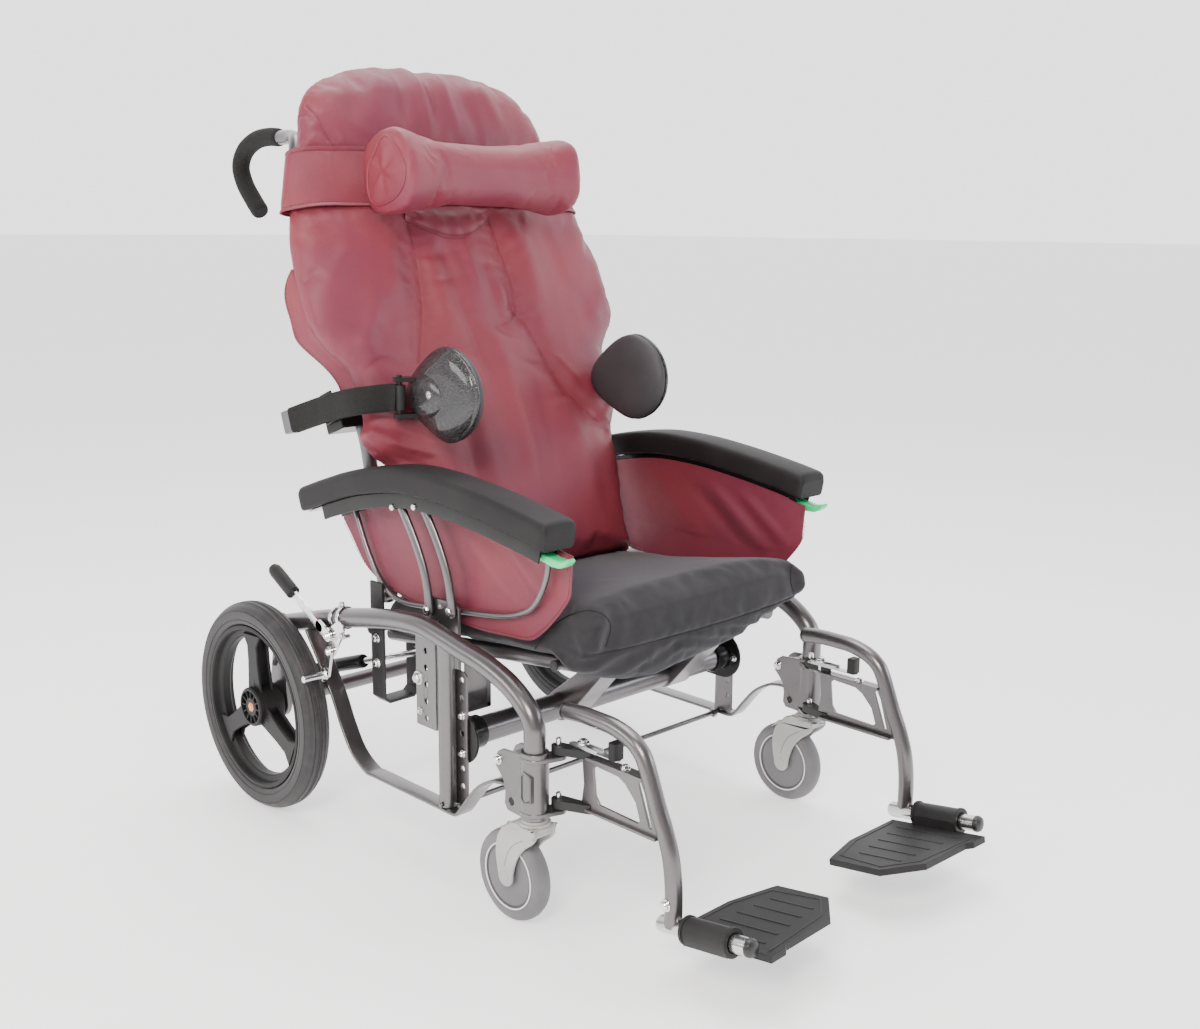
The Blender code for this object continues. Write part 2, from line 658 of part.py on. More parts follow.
def hangers():
    path = [(-0.016, 0.292), (-0.046, 0.295), (-0.074, 0.295), (-0.101, 0.294), (-0.127, 0.288), (-0.145, 0.278)]
    path += [(-0.158, 0.261), (-0.178, 0.213), (-0.190, 0.187), (-0.200, 0.159), (-0.205, 0.132), (-0.207, 0.104)]
    path += [hanger_point(0.018)]
    arm = flat_tube(HANGER_X, path, HANGER_TUBE, 2, 2)
    low, high = HANGER_X - WEB / 2, HANGER_X + WEB / 2
    web = plate([(-0.049, 0.244), (-0.047, 0.170), (-0.186, 0.170), (-0.160, 0.244)], low, high)
    window = plate([(-0.066, 0.230), (-0.069, 0.186), (-0.150, 0.186), (-0.132, 0.230)], low - 0.01, high + 0.01)
    web = cut(web, window)
    top_arm = level_lens(((HINGE_X, HINGE_Y, EYE_RADIUS), (HANGER_X, -0.060, 0.006)), 0.2400, 0.2510)
    low_arm = level_lens(((HINGE_X, HINGE_Y, EYE_RADIUS), (HANGER_X, -0.060, 0.006)), 0.1670, 0.1790)
    foot_start, foot_end = hanger_point(0.0), hanger_point(FOOT_TUBE_LENGTH)
    foot = tube([at(FOOT_TUBE_X, *foot_start), at(FOOT_TUBE_X, *foot_end)], HANGER_TUBE, 3)
    pin = tube([at(HANGER_X, -0.048, 0.245), at(HANGER_X, -0.048, 0.262)], HINGE_PIN)
    hanger = joined(arm, foot, web, top_arm, low_arm, pin)
    eyes = tube([at(HINGE_X, HINGE_Y, 0.150), at(HINGE_X, HINGE_Y, 0.270)], HINGE_PIN + 2 * PIN_PLAY)
    keep_pair("hanger", cut(hanger, eyes), PAINT, at(HINGE_X, HINGE_Y, HOUSING_TOP))

    bar_low = 0.2510 + RUNNING
    bar = level_lens(((HANGER_X, -0.030, 0.006), (HANGER_X, -0.108, 0.006)), bar_low, bar_low + LATCH_BAR, 8)
    knob = tube([at(HANGER_X, -0.106, bar_low + 0.001), at(HANGER_X, -0.106, bar_low + 0.024)], 0.018, 3)
    hole = tube([at(HANGER_X, -0.048, 0.24), at(HANGER_X, -0.048, 0.28)], HINGE_PIN + 2 * PIN_PLAY)
    keep_pair("hanger_latch", cut(joined(bar, knob), hole), CHROME, at(HANGER_X, -0.048, bar_low))

    outline = [(-0.013, 0.006), (-0.116, 0.004), (-0.181, 0.022), (-0.191, 0.106), (-0.141, 0.146), (-0.013, 0.158)]
    board_points = []
    for inward, distance in outline:
        x = FOOT_TUBE_X + inward
        for lift in (-FOOTPLATE_DROP - FOOTPLATE / 2, -FOOTPLATE_DROP + FOOTPLATE / 2):
            board_points.append(at(x, *hanger_point(distance, lift)))
    board = hull(board_points)
    sleeve = tube([at(FOOT_TUBE_X, *hanger_point(d)) for d in (0.044, 0.110)], SLEEVE, 3)
    inside = 2 * (flats(HANGER_TUBE / 2, FOOT_TUBE_SIDES) + GAP)
    bore = tube([at(FOOT_TUBE_X, *hanger_point(d)) for d in (0.03, 0.125)], inside, 3)
    board = cut(joined(board, sleeve), bore)
    keep_pair("footplate", board, PLASTIC, at(FOOT_TUBE_X, *hanger_point(0.077)))


def brakes():
    grown = [at(FRAME_HALF_WIDTH, *p) for p in BRAKE_CLAMP]
    band = tube(grown, FRAME_TUBE + 0.008, 4)
    low, high = BRAKE_PLATE_X, BRAKE_PLATE_X + BRAKE_PLATE
    sheet = lens(((WHEELBASE - 0.184, 0.333, 0.016), (*LEVER_PIVOT, 0.010), (*SHOE_PIVOT, 0.009)), low, high, 8)
    bracket = joined(band, sheet)
    bracket = cut(bracket, frame_line(GAP))
    pins = [cross_bar(low + 0.001, LEVER_X + LEVER + 0.001, *place, BRAKE_PIN) for place in (LEVER_PIVOT, SHOE_PIVOT)]
    keep_pair("brake_bracket", joined(bracket, *pins), CHROME, at(low, *LEVER_PIVOT))

    inner, outer = LEVER_X, LEVER_X + LEVER
    handle = lens(((*LEVER_PIVOT, 0.009), (WHEELBASE - 0.050, 0.363, 0.005)), inner, outer, 8)
    middle = (inner + outer) / 2
    grip = tube([at(middle, WHEELBASE - 0.068, 0.3535), at(middle, WHEELBASE - 0.014, 0.382)], 0.021, 3)
    hole = cross_bar(inner - 0.01, outer + 0.01, *LEVER_PIVOT, BRAKE_PIN + 2 * PIN_PLAY)
    keep_pair("brake_lever", cut(joined(handle, grip), hole), CHROME, at(inner, *LEVER_PIVOT))

    reach = REAR_RADIUS + SHOE_ROD / 2 + SHOE_CLEARANCE
    shoe_z = 0.245
    shoe_y = WHEELBASE - math.sqrt(reach**2 - (shoe_z - REAR_RADIUS) ** 2)
    arm = lens(((*SHOE_PIVOT, 0.008), (shoe_y, shoe_z, 0.007)), inner, outer, 8)
    rod = cross_bar(inner, TYRE_INNER_X + TYRE_WIDTH, shoe_y, shoe_z, SHOE_ROD)
    hole = cross_bar(inner - 0.01, outer + 0.01, *SHOE_PIVOT, BRAKE_PIN + 2 * PIN_PLAY)
    keep_pair("brake_shoe", cut(joined(arm, rod), hole), CHROME, at(inner, *SHOE_PIVOT))


def seat_under(y):
    return SEAT_UNDER - SEAT_UNDER_FALL * y


def seat_over(y):
    return SEAT_TOP - SEAT_TOP_FALL * y


def seat_frame():
    rail_drop = SEAT_RAIL / 2 + GAP
    rail_ends = (0.010, REAR_MEMBER_Y + 0.004)
    rails = [[at(side * SEAT_RAIL_X, y, seat_under(y) - rail_drop) for y in rail_ends] for side in (-1, 1)]
    pieces = [tube(rail, SEAT_RAIL, 3) for rail in rails]
    for side in (-1, 1):
        lug_in = CANE_X + CANE / 2 + RUNNING
        low, high = sorted((side * lug_in, side * (lug_in + 0.005)))
        lug = ((REAR_MEMBER_Y, REAR_MEMBER_Z, 0.010), (RECLINE_Y, RECLINE_Z, 0.012))
        pieces.append(lens(lug, low, high))
        pin_in = CANE_X - CANE / 2 - 0.001
        pieces.append(cross_bar(side * pin_in, side * (high if side > 0 else -low), RECLINE_Y, RECLINE_Z, RECLINE_PIN))
    pieces.append(cross_bar(-SEAT_HALF, SEAT_HALF, REAR_MEMBER_Y, REAR_MEMBER_Z, CROSS_MEMBER))
    front_z = seat_under(0.045) - rail_drop
    pieces.append(cross_bar(-SEAT_HALF + 0.02, SEAT_HALF - 0.02, 0.045, front_z, CROSS_MEMBER))
    pieces.append(cross_bar(-SEAT_RAIL_X, SEAT_RAIL_X, 0.232, seat_under(0.232) - rail_drop, CROSS_MEMBER))
    pieces.append(cross_bar(-CROSS_HALF, CROSS_HALF, TILT_Y, TILT_Z, CROSS_TUBE, 4))
    for x in LINK_PLATES:
        ends = ((TILT_Y, TILT_Z, 0.0225), (0.045, front_z, 0.0085))
        pieces.append(lens(ends, x - LINK_PLATE / 2, x + LINK_PLATE / 2))
    y, z = SPRING_SEAT
    pieces.append(cross_bar(-SPRING_X - 0.0105, -SEAT_RAIL_X, y, z, SPRING_PIN))
    keep("seat_frame", joined(*pieces), PAINT, at(0, TILT_Y, TILT_Z))

    grown_rail = tube(rails[1], SEAT_RAIL + 2 * GAP, 3)
    outside = CARRIER_X + CARRIER
    foot = TILT_Z + 0.0125
    top = FRONT_PIVOT[1]
    corners = ((0.203, foot), (0.262, foot), (0.262, top + 0.004), (0.256, top + 0.009))
    corners += ((0.200, top + 0.009), (0.193, top + 0.003), (0.193, foot + 0.0345))
    carrier = [
        plate(corners, CARRIER_X, outside),
        box((SEAT_RAIL_X - 0.004, 0.206, foot), (outside - 0.001, 0.258, foot + 0.008)),
        box((SEAT_RAIL_X - 0.004, 0.206, foot + 0.001), (SEAT_RAIL_X + 0.004, 0.258, seat_under(0.23) - 0.02)),
    ]
    for place in (FRONT_PIVOT, REAR_PIVOT):
        carrier.append(cross_bar(CARRIER_X + 0.001, LINK_X + LINK + GAP, *place, ARM_PIN))
    low = TILT_Z - 0.013
    hoop = [
        box((SEAT_RAIL_X - 0.003, 0.370, low), (SEAT_RAIL_X + 0.002, 0.400, seat_under(0.385) - rail_drop)),
        box((SEAT_RAIL_X - 0.003, 0.370, low), (outside, 0.400, low + 0.005)),
        box((CARRIER_X, 0.370, low + 0.001), (outside, 0.400, top + 0.004)),
    ]
    under_rail = rail_drop + SEAT_RAIL / 2 + GAP + STIFFENER / 2
    stiffener = tube([at(SEAT_RAIL_X, y, seat_under(y) - under_rail) for y in (0.250, 0.378)], STIFFENER)
    sides = joined(joined(*carrier), joined(*hoop), stiffener)
    keep_pair("seat_carrier", cut(sides, grown_rail), PAINT, at(CARRIER_X, *FRONT_PIVOT))


def seat_cushion():
    """Crowned top, drawn-in sides, a rolled front and a belly of gathered cloth under the front."""
    rows = 15
    around = 32
    rings = []
    for row in range(rows + 1):
        t = row / rows
        y = SEAT_FRONT + (SEAT_BACK - SEAT_FRONT) * t
        front = math.sin(min(1.0, 0.30 + t / 0.16) * math.pi / 2) ** 0.6
        back = math.sin(min(1.0, 0.45 + (1 - t) / 0.10) * math.pi / 2) ** 0.6
        fullness = front * back
        low, high = seat_under(y), seat_over(y)
        middle, half_height = (low + high) / 2, (high - low) / 2
        ring = []
        for i in range(around):
            angle = 2 * math.pi * (i + 0.5) / around
            c, s = math.cos(angle), math.sin(angle)
            x = (SEAT_HALF - 0.004 * (1 - abs(s))) * math.copysign(abs(c) ** 0.22, c)
            x *= 0.95 + 0.05 * fullness
            flatness = abs(s) ** 0.35 if s > 0 else -(abs(s) ** 0.10)
            across = 1 - (x / SEAT_HALF) ** 2
            z = middle + half_height * flatness * fullness
            if s > 0:
                z += SEAT_CROWN * across * fullness * s**0.3
                z -= 0.004 * math.exp(-(((abs(x) - 0.175) / 0.012) ** 2)) * fullness * s
            elif y < 0.012:
                z -= 0.030 * across**2 * smooth(0.012, -0.03, y) * abs(s) ** 0.3
            ring.append(at(x, y, z))
        rings.append(ring)
    keep("seat_cushion", loft(rings), CLOTH, at(0, TILT_Y, TILT_Z))


# The pad's underside line, as y and the height over the seat's top line
ARM_UNDERSIDE = ((0.530, 0.060), (0.460, 0.084), (0.388, 0.105), (0.293, 0.121), (0.206, 0.121), (0.118, 0.112),
                 (0.035, 0.099), (-0.010, 0.090))


def over_seat(points):
    """(y, z) points from ones whose height counts up from the seat's top line."""
    return [(y, SEAT_TOP + height) for y, height in points]


def underside(y):
    line = over_seat(ARM_UNDERSIDE)
    for (y0, z0), (y1, z1) in zip(line, line[1:]):
        if y0 >= y >= y1:
            return z0 + (z1 - z0) * (y0 - y) / (y0 - y1)
    return line[0][1] if y > line[0][0] else line[-1][1]


def arms():
    line = through([at(0, y, z) for y, z in over_seat(ARM_UNDERSIDE)], 2)
    rings = []
    middle = (PAD_IN + PAD_OUT) / 2
    half = (PAD_OUT - PAD_IN) / 2
    section = ((1, 0.1), (1, 0.72), (0.72, 0.98), (-0.72, 0.98), (-1, 0.72), (-1, 0.1), (-0.85, 0), (0.85, 0))
    for i, place in enumerate(line):
        ahead = line[min(i + 1, len(line) - 1)] - line[max(i - 1, 0)]
        ahead.normalize()
        up = Vector((0, ahead.z, -ahead.y))
        edge = min(i, len(line) - 1 - i)
        size = (0.90, 1.0)[min(edge, 1)]
        ring = [place + Vector((middle + half * size * u, 0, 0)) + up * (0.037 * v) for u, v in section]
        rings.append(ring)
    keep_pair("arm_pad", loft(rings), MOULDED, at(middle, *FRONT_PIVOT))

    front_top = (FRONT_PIVOT[0] + LINK_RISE[0], FRONT_PIVOT[1] + LINK_RISE[1])
    rear_top = (REAR_PIVOT[0] + LINK_RISE[0], REAR_PIVOT[1] + LINK_RISE[1])
    under = [(y, underside(y) - 2 * GAP) for y in (0.490, 0.460, 0.388, 0.293, 0.206, 0.118, 0.035, 0.004)]
    deep = [(y, z - 0.021) for y, z in under]
    skirt = plate([*under, *deep[::-1]], CHANNEL_IN, CHANNEL_OUT)
    lowered = [(y, z - CHANNEL_WALL) for y, z in under]
    lowered[0] = (0.500, lowered[0][1])
    lowered[-1] = (-0.010, lowered[-1][1])
    hollow = plate(
        [*lowered, *[(y, z - 0.05) for y, z in lowered][::-1]], CHANNEL_IN + CHANNEL_WALL, CHANNEL_OUT - CHANNEL_WALL
    )
    channel = cut(skirt, hollow)
    wire_path = [(0.448, 0.078), (0.431, 0.043), (0.414, 0.012), (0.392, -0.018), (0.362, -0.040), (0.327, -0.047)]
    wire_path += [(0.267, -0.042), (0.198, -0.034), (0.126, -0.025), (0.086, -0.016), (0.053, 0.000), (0.034, 0.025)]
    wire_path += [(0.023, 0.053), (0.020, 0.088)]
    wire = flat_tube(WIRE_X, over_seat(wire_path), WIRE, 2, 2)
    pins = [cross_bar(CHANNEL_IN + 0.001, CHANNEL_OUT - 0.001, *top, TOP_PIN) for top in (front_top, rear_top)]
    pins.append(cross_bar(CHANNEL_IN + 0.001, CHANNEL_OUT - 0.001, *ARM_LEVER_PIVOT, ARM_LEVER_PIN))
    keep_pair("arm_frame", joined(channel, wire, *pins), BLACK, at(WIRE_X, *FRONT_PIVOT))

    for name, foot in (("arm_link_front", FRONT_PIVOT), ("arm_link_rear", REAR_PIVOT)):
        rises = ((0, 0), (0.004, 0.030), (0.014, 0.062), (0.035, 0.100), LINK_RISE)
        mid = through([at(0, foot[0] + y, foot[1] + z) for y, z in rises], 2)
        spans = [
            lens(
                (
                    (a.y + STEM_SETBACK, a.z, LINK_HALF_WIDTH),
                    (b.y + STEM_SETBACK, b.z, LINK_HALF_WIDTH),
                ),
                LINK_X,
                LINK_X + LINK,
                8,
            )
            for a, b in zip(mid[::2], mid[2::2])
        ]
        holes = [
            cross_bar(LINK_X - 0.01, LINK_X + LINK + 0.01, *foot, ARM_PIN + 2 * PIN_PLAY),
            cross_bar(
                LINK_X - 0.01,
                LINK_X + LINK + 0.01,
                foot[0] + LINK_RISE[0],
                foot[1] + LINK_RISE[1],
                TOP_PIN + 2 * PIN_PLAY,
            ),
        ]
        keep_pair(name, cut(joined(*spans), *holes), PAINT, at(LINK_X, *foot))

    low_edge = [(0.488, 0.050), (0.469, 0.029), (0.438, -0.007), (0.400, -0.029), (0.330, -0.045), (0.250, -0.052)]
    low_edge += [(0.166, -0.055), (0.091, -0.050), (0.038, -0.041), (-0.002, -0.012), (-0.035, 0.026), (-0.043, 0.059)]
    top_edge = [(-0.040, 0.082), (0.0, 0.084)]
    top_edge = [*over_seat(top_edge)] + [(y, underside(y) - 0.006) for y in (0.035, 0.118, 0.206, 0.293, 0.388, 0.460)]
    panel = plate([*over_seat(low_edge), *top_edge], PANEL_X - PANEL / 2, PANEL_X + PANEL / 2)
    keep_pair("arm_panel", panel, VINYL, at(PANEL_X, *FRONT_PIVOT))

    lever_x = (CHANNEL_IN + CHANNEL_OUT) / 2
    blade_shape = ((*ARM_LEVER_PIVOT, 0.006), (-0.022, SEAT_TOP + 0.078, 0.006), (-0.034, SEAT_TOP + 0.086, 0.003))
    blade = lens(blade_shape, lever_x - 0.009, lever_x + 0.009, 8)
    hole = cross_bar(lever_x - 0.02, lever_x + 0.02, *ARM_LEVER_PIVOT, ARM_LEVER_PIN + 2 * PIN_PLAY)
    keep_pair("arm_lever", cut(blade, hole), GREEN, at(lever_x, *ARM_LEVER_PIVOT))


def gas_spring():
    base = at(-SPRING_X, *SPRING_BASE)
    seat = at(-SPRING_X, *SPRING_SEAT)
    along = (seat - base).normalized()
    eye = SPRING_PIN + 0.010
    half = 0.009
    cylinder = joined(
        cross_bar(-SPRING_X - half, -SPRING_X + half, *SPRING_BASE, eye),
        tube([base + 0.006 * along, base + SPRING_FREE * along], SPRING_CYLINDER, 3),
    )
    bore = tube([base + 0.065 * along, base + (SPRING_FREE + 0.01) * along], SPRING_ROD + 2 * PIN_PLAY)
    hole = cross_bar(-SPRING_X - 0.02, -SPRING_X + 0.02, *SPRING_BASE, SPRING_PIN + 2 * PIN_PLAY)
    keep("gas_cylinder", cut(cylinder, bore, hole), BLACK, base)

    rod = joined(
        cross_bar(-SPRING_X - half, -SPRING_X + half, *SPRING_SEAT, eye + OPEN_PLAY),
        tube([base + 0.092 * along, seat - 0.006 * along], SPRING_ROD),
    )
    hole = cross_bar(-SPRING_X - 0.02, -SPRING_X + 0.02, *SPRING_SEAT, SPRING_PIN + OPEN_PLAY)
    keep("gas_rod", cut(rod, hole), CHROME, base)


def seat_at(x, y, height):
    """A point whose height counts up from the seat's top line."""
    return at(x, y, SEAT_TOP + height)


def back_point(x, s, n=0.0):
    """A point of the leaning back: s up along it from the seat, n forward out of it."""
    y = BACK_BASE[0] + s * math.sin(BACK_ANGLE) - n * math.cos(BACK_ANGLE)
    z = BACK_BASE[1] + s * math.cos(BACK_ANGLE) + n * math.sin(BACK_ANGLE)
    return at(x, y, z)


def back_half_width(s):
    """Narrow between the arms, wider beside the lateral bars, widest at the shoulders, and a broad arch."""
    width = BACK_LOW_HALF + (BACK_WAIST_HALF - BACK_LOW_HALF) * smooth(-0.03, 0.12, s)
    width += (BACK_BAR_HALF - BACK_WAIST_HALF) * smooth(0.14, 0.21, s)
    width += (BACK_SHOULDER_HALF - BACK_BAR_HALF) * smooth(0.275, 0.36, s) - 0.072 * smooth(0.42, 0.70, s)
    arch = max(0.0, (s - 0.655) / (BACK_HEIGHT - 0.655))
    return width * math.sqrt(max(0.0, 1 - arch**2.6))


def back_section(s, grow=0.0):
    """The cushion's closed outline at a height, or one that lies further out by grow."""
    width = back_half_width(s) + grow
    end = min(smooth(BACK_LOW - 0.025, BACK_LOW + 0.04, s), smooth(BACK_HEIGHT + 0.008, BACK_HEIGHT - 0.06, s))
    depth = 0.010 + (BACK_HALF_DEPTH - 0.010) * end + grow
    channel_x = BACK_CHANNEL_X * min(1.0, width / 0.15)
    inner = [0, 0.5 * channel_x, channel_x - 0.012 * channel_x / 0.09, channel_x, channel_x + 0.012 * channel_x / 0.09]
    outer = [inner[-1] + (width - inner[-1]) * t for t in (0.25, 0.5, 0.72, 0.88, 0.97)]
    half = [*inner, *outer, width]
    front = [*[-x for x in half[:0:-1]], *half]
    ring = []
    for x in front:
        thick = max(0.0, 1 - abs(x / width) ** 4.4) ** 0.27
        n = depth * thick
        n += BACK_CROWN * end * thick * math.exp(-((x / 0.12) ** 2))
        channel = math.exp(-(((abs(x) - BACK_CHANNEL_X) / 0.011) ** 2)) * smooth(0.52, 0.47, s)
        n -= 0.007 * channel * end * thick
        n -= 0.010 * end * math.exp(-(((s - 0.50) / 0.014) ** 2)) * smooth(0.11, 0.08, abs(x))
        ring.append(back_point(x, s, n))
    for t in (0.95, 0.75, 0.4, 0, -0.4, -0.75, -0.95):
        ring.append(back_point(width * t, s, -depth * (1 - abs(t) ** 4.4) ** 0.27))
    return ring


def back_cushion():
    levels = [BACK_LOW, BACK_LOW + 0.015, 0.01, 0.08, 0.15, 0.20, 0.245, 0.275, 0.30, 0.325, 0.345]
    levels += [0.38, 0.42, 0.455, 0.49, 0.52, 0.56, 0.60, 0.64, 0.67, 0.70, 0.725, 0.745, 0.760, 0.770]
    rings = [back_section(s) for s in levels]
    keep("back_cushion", loft(rings), VINYL, at(0, RECLINE_Y, RECLINE_Z))


def head_strap():
    """A band right round the back, which holds the head roll."""
    low, high = STRAP_LOW, STRAP_LOW + HEAD_STRAP
    middle = (low + high) / 2
    outer = loft([back_section(s, STRAP_OFFSET + HEAD_STRAP_THICKNESS) for s in (low, middle, high)])
    inner = loft([back_section(s, STRAP_OFFSET) for s in (low - 0.02, low, middle, high, high + 0.02)])
    keep("head_strap", cut(outer, inner), VINYL, at(0, RECLINE_Y, RECLINE_Z))


BACK_BARS = ((0.20, -0.062), (0.45, -0.072))


def cane_line():
    low = at(CANE_X, RECLINE_Y, RECLINE_Z - 0.012)
    line = [low, at(CANE_X, RECLINE_Y, RECLINE_Z), seat_at(CANE_X + 0.002, 0.446, 0.018)]
    line += [back_point(CANE_X + 0.009, 0.20, -0.062), back_point(CANE_X + 0.019, 0.33, -0.072)]
    line += [back_point(CANE_X + 0.025, 0.45, -0.072), back_point(CANE_X + 0.023, 0.55, -0.060)]
    line += [seat_at(CANE_X + 0.019, 0.610, 0.563), seat_at(CANE_X + 0.007, 0.625, 0.600)]
    line += [seat_at(CANE_X - 0.007, 0.655, 0.612), seat_at(GRIP_X, 0.700, 0.614)]
    return [line[0], *through(line[1:], 2)]


def back_frame():
    pieces = []
    for side in (-1, 1):
        line = [Vector((side * p.x, p.y, p.z)) for p in cane_line()]
        pieces.append(tube(line, HANDLE_TUBE))
        pieces.append(cross_bar(side * (CANE_X - CANE / 2), side * (CANE_X + CANE / 2), RECLINE_Y, RECLINE_Z, 0.026, 3))
    for s, n in BACK_BARS:
        left = back_point(CANE_X + 0.015, s, n)
        pieces.append(tube([Vector((-left.x, left.y, left.z)), left], CROSS_MEMBER))
    pieces.append(tube([seat_at(x, 0.630, 0.598) for x in (-TOP_BAR_HALF, TOP_BAR_HALF)], CROSS_MEMBER))
    seat_n = -BACK_HALF_DEPTH - RUNNING
    for s, n in BACK_BARS:
        for x in (-0.10, 0.10):
            pieces.append(block(back_point(x, s, (seat_n + n) / 2), (0.050, seat_n - n, 0.030)))
    for side in (-1, 1):
        clamp = back_point(side * CLAMP_X, 0.25, -0.064)
        pieces.append(block(clamp, (CLAMP, 0.044, 0.040)))
    frame = joined(*pieces)
    bores = [
        cross_bar(side * (CANE_X - 0.03), side * (CANE_X + 0.03), RECLINE_Y, RECLINE_Z, RECLINE_PIN + 2 * PIN_PLAY)
        for side in (-1, 1)
    ]
    keep("back_frame", cut(frame, *bores), PAINT, at(0, RECLINE_Y, RECLINE_Z))


def block(centre, size):
    """A box in the leaning back's own directions."""
    shape = bmesh.new()
    place = Matrix.Translation(centre) @ Matrix.Rotation(-BACK_ANGLE, 4, "X") @ Matrix.Diagonal((*size, 1))
    bmesh.ops.create_cube(shape, size=1, matrix=place)
    return from_bmesh(shape)


def push_grips():
    start = cane_line()[-1]
    hook = [(0.735, 0.616), (0.772, 0.612), (0.806, 0.597), (0.822, 0.573), (0.812, 0.546), (0.789, 0.521)]
    path = [start, *[seat_at(GRIP_X, y, height) for y, height in [*hook, (0.764, 0.498)]]]
    before = start + (start - path[1]) * 0.5
    grip = tube([before, start, *through(path, 2)[1:]], GRIP)
    cane = cane_line()
    ahead = (cane[-1] - cane[-2]).normalized()
    hole = tube([*cane, start + 2 * GAP * ahead], HANDLE_TUBE + 2 * GAP)
    keep_pair("push_grip", cut(grip, hole), FOAM, start)


def head_roll():
    steps = 8
    around = 14
    length = ROLL_HALF_LENGTH
    strap_front = BACK_FRONT + STRAP_OFFSET + HEAD_STRAP_THICKNESS
    reach = strap_front + RUNNING + ROLL_WAIST
    rings = []
    for i in range(2 * steps + 1):
        x = length * math.sin(math.pi / 2 * (i / steps - 1))
        radius = ROLL_WAIST + 0.010 * (x / length) ** 2
        radius *= max(0.12, 1 - abs(x / length) ** 7) ** 0.5
        ring = []
        for j in range(around):
            angle = 2 * math.pi * j / around - math.pi / 2
            ring.append(back_point(x, ROLL_HEIGHT + radius * math.cos(angle), reach + radius * math.sin(angle)))
        rings.append(ring)
    keep("head_roll", loft(rings), VINYL, at(0, RECLINE_Y, RECLINE_Z))


def laterals():
    bar_x = CLAMP_X + CLAMP / 2 + GAP + 0.010
    clamp = back_point(bar_x, 0.25, -0.064)
    line = [seat_at(bar_x + 0.0062, BAR_END_Y, 0.192), clamp + Vector((0, 0.032, -0.009))]
    line += [clamp + Vector((0, -0.032, 0.009)), seat_at(bar_x - 0.002, 0.396, 0.238)]
    line += [seat_at(PAD_HINGE_X + x, PAD_HINGE_Y + y, 0.243) for x, y in ((0.012, 0.010), (0.004, -0.002))]
    corners = ((0.010, -0.020), (0.010, 0.020), (-0.010, 0.020), (-0.010, -0.020))
    bar = loft([[place + Vector((u, 0, v)) for u, v in corners] for place in line])
    pin = tube([seat_at(PAD_HINGE_X, PAD_HINGE_Y, height) for height in (0.210, 0.276)], HINGE_PIN)
    keep_pair("lateral_arm", joined(bar, pin), FOAM, clamp)

    around = 16
    rings = []
    for inward, size in ((0.018, 0.72), (0.024, 0.93), (0.035, 1.0), (0.046, 0.93), (0.053, 0.70)):
        ring = []
        for i in range(around):
            angle = 2 * math.pi * i / around
            y = PAD_MIDDLE_Y + 0.078 * size * math.cos(angle)
            height = 0.250 + 0.070 * size * math.sin(angle)
            ring.append(seat_at(PAD_HINGE_X - inward, y, height))
        rings.append(ring)
    hinge = (PAD_HINGE_X, PAD_HINGE_Y, 0.009)
    root = (PAD_HINGE_X - 0.024, PAD_HINGE_Y - 0.009, 0.010)
    ears = [level_lens((hinge, root), SEAT_TOP + height, SEAT_TOP + height + 0.007) for height in (0.2135, 0.2650)]
    pad = joined(loft(rings), *ears)
    bore = tube([seat_at(PAD_HINGE_X, PAD_HINGE_Y, height) for height in (0.188, 0.288)], HINGE_PIN + 2 * PIN_PLAY)
    keep_pair("lateral_pad", cut(pad, bore), PLASTIC, seat_at(PAD_HINGE_X, PAD_HINGE_Y, 0.243))


base_frame()
housings()
casters()
rear_wheels()
rear_axle()
cross_tube_brackets()
hangers()
brakes()
seat_frame()
seat_cushion()
arms()
gas_spring()
back_cushion()
back_frame()
push_grips()
head_roll()
head_strap()
laterals()
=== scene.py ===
"""Scoot chair: camera, light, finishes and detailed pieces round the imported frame.

Metres, +Z up, the front is -Y, the sitter's left is +X. Lengths along the chair count back from the
caster stems, as at() takes them.
"""

import math

import bmesh
import bpy
from mathutils import Matrix, Vector, bvhtree, geometry, noise


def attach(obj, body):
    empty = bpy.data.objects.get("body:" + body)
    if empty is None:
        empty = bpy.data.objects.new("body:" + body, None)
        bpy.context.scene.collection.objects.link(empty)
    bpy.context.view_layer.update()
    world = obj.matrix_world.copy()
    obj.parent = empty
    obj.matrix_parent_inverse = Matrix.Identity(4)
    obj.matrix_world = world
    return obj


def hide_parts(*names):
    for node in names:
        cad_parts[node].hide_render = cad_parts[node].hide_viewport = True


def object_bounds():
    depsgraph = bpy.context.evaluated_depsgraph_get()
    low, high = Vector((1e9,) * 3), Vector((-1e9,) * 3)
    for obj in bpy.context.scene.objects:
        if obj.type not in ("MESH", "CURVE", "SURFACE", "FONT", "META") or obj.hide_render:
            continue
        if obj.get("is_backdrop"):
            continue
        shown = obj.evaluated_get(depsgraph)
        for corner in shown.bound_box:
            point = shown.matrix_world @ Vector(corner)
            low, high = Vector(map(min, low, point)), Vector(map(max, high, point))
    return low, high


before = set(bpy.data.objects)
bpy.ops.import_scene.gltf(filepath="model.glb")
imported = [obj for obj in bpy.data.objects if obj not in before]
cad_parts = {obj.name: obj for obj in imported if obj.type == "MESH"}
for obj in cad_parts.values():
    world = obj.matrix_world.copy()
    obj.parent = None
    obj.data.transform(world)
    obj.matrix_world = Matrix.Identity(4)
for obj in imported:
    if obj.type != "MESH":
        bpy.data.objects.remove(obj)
cad_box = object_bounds()

STEM_SETBACK = 0.246
SIDES = (("left", 1), ("right", -1))
ACROSS = Vector((1, 0, 0))
REARWARD = Vector((0, 1, 0))
UPWARD = Vector((0, 0, 1))


def at(x, y, z):
    """A point whose y counts back from the caster stems."""
    return Vector((x, y - STEM_SETBACK, z))


# Finishes


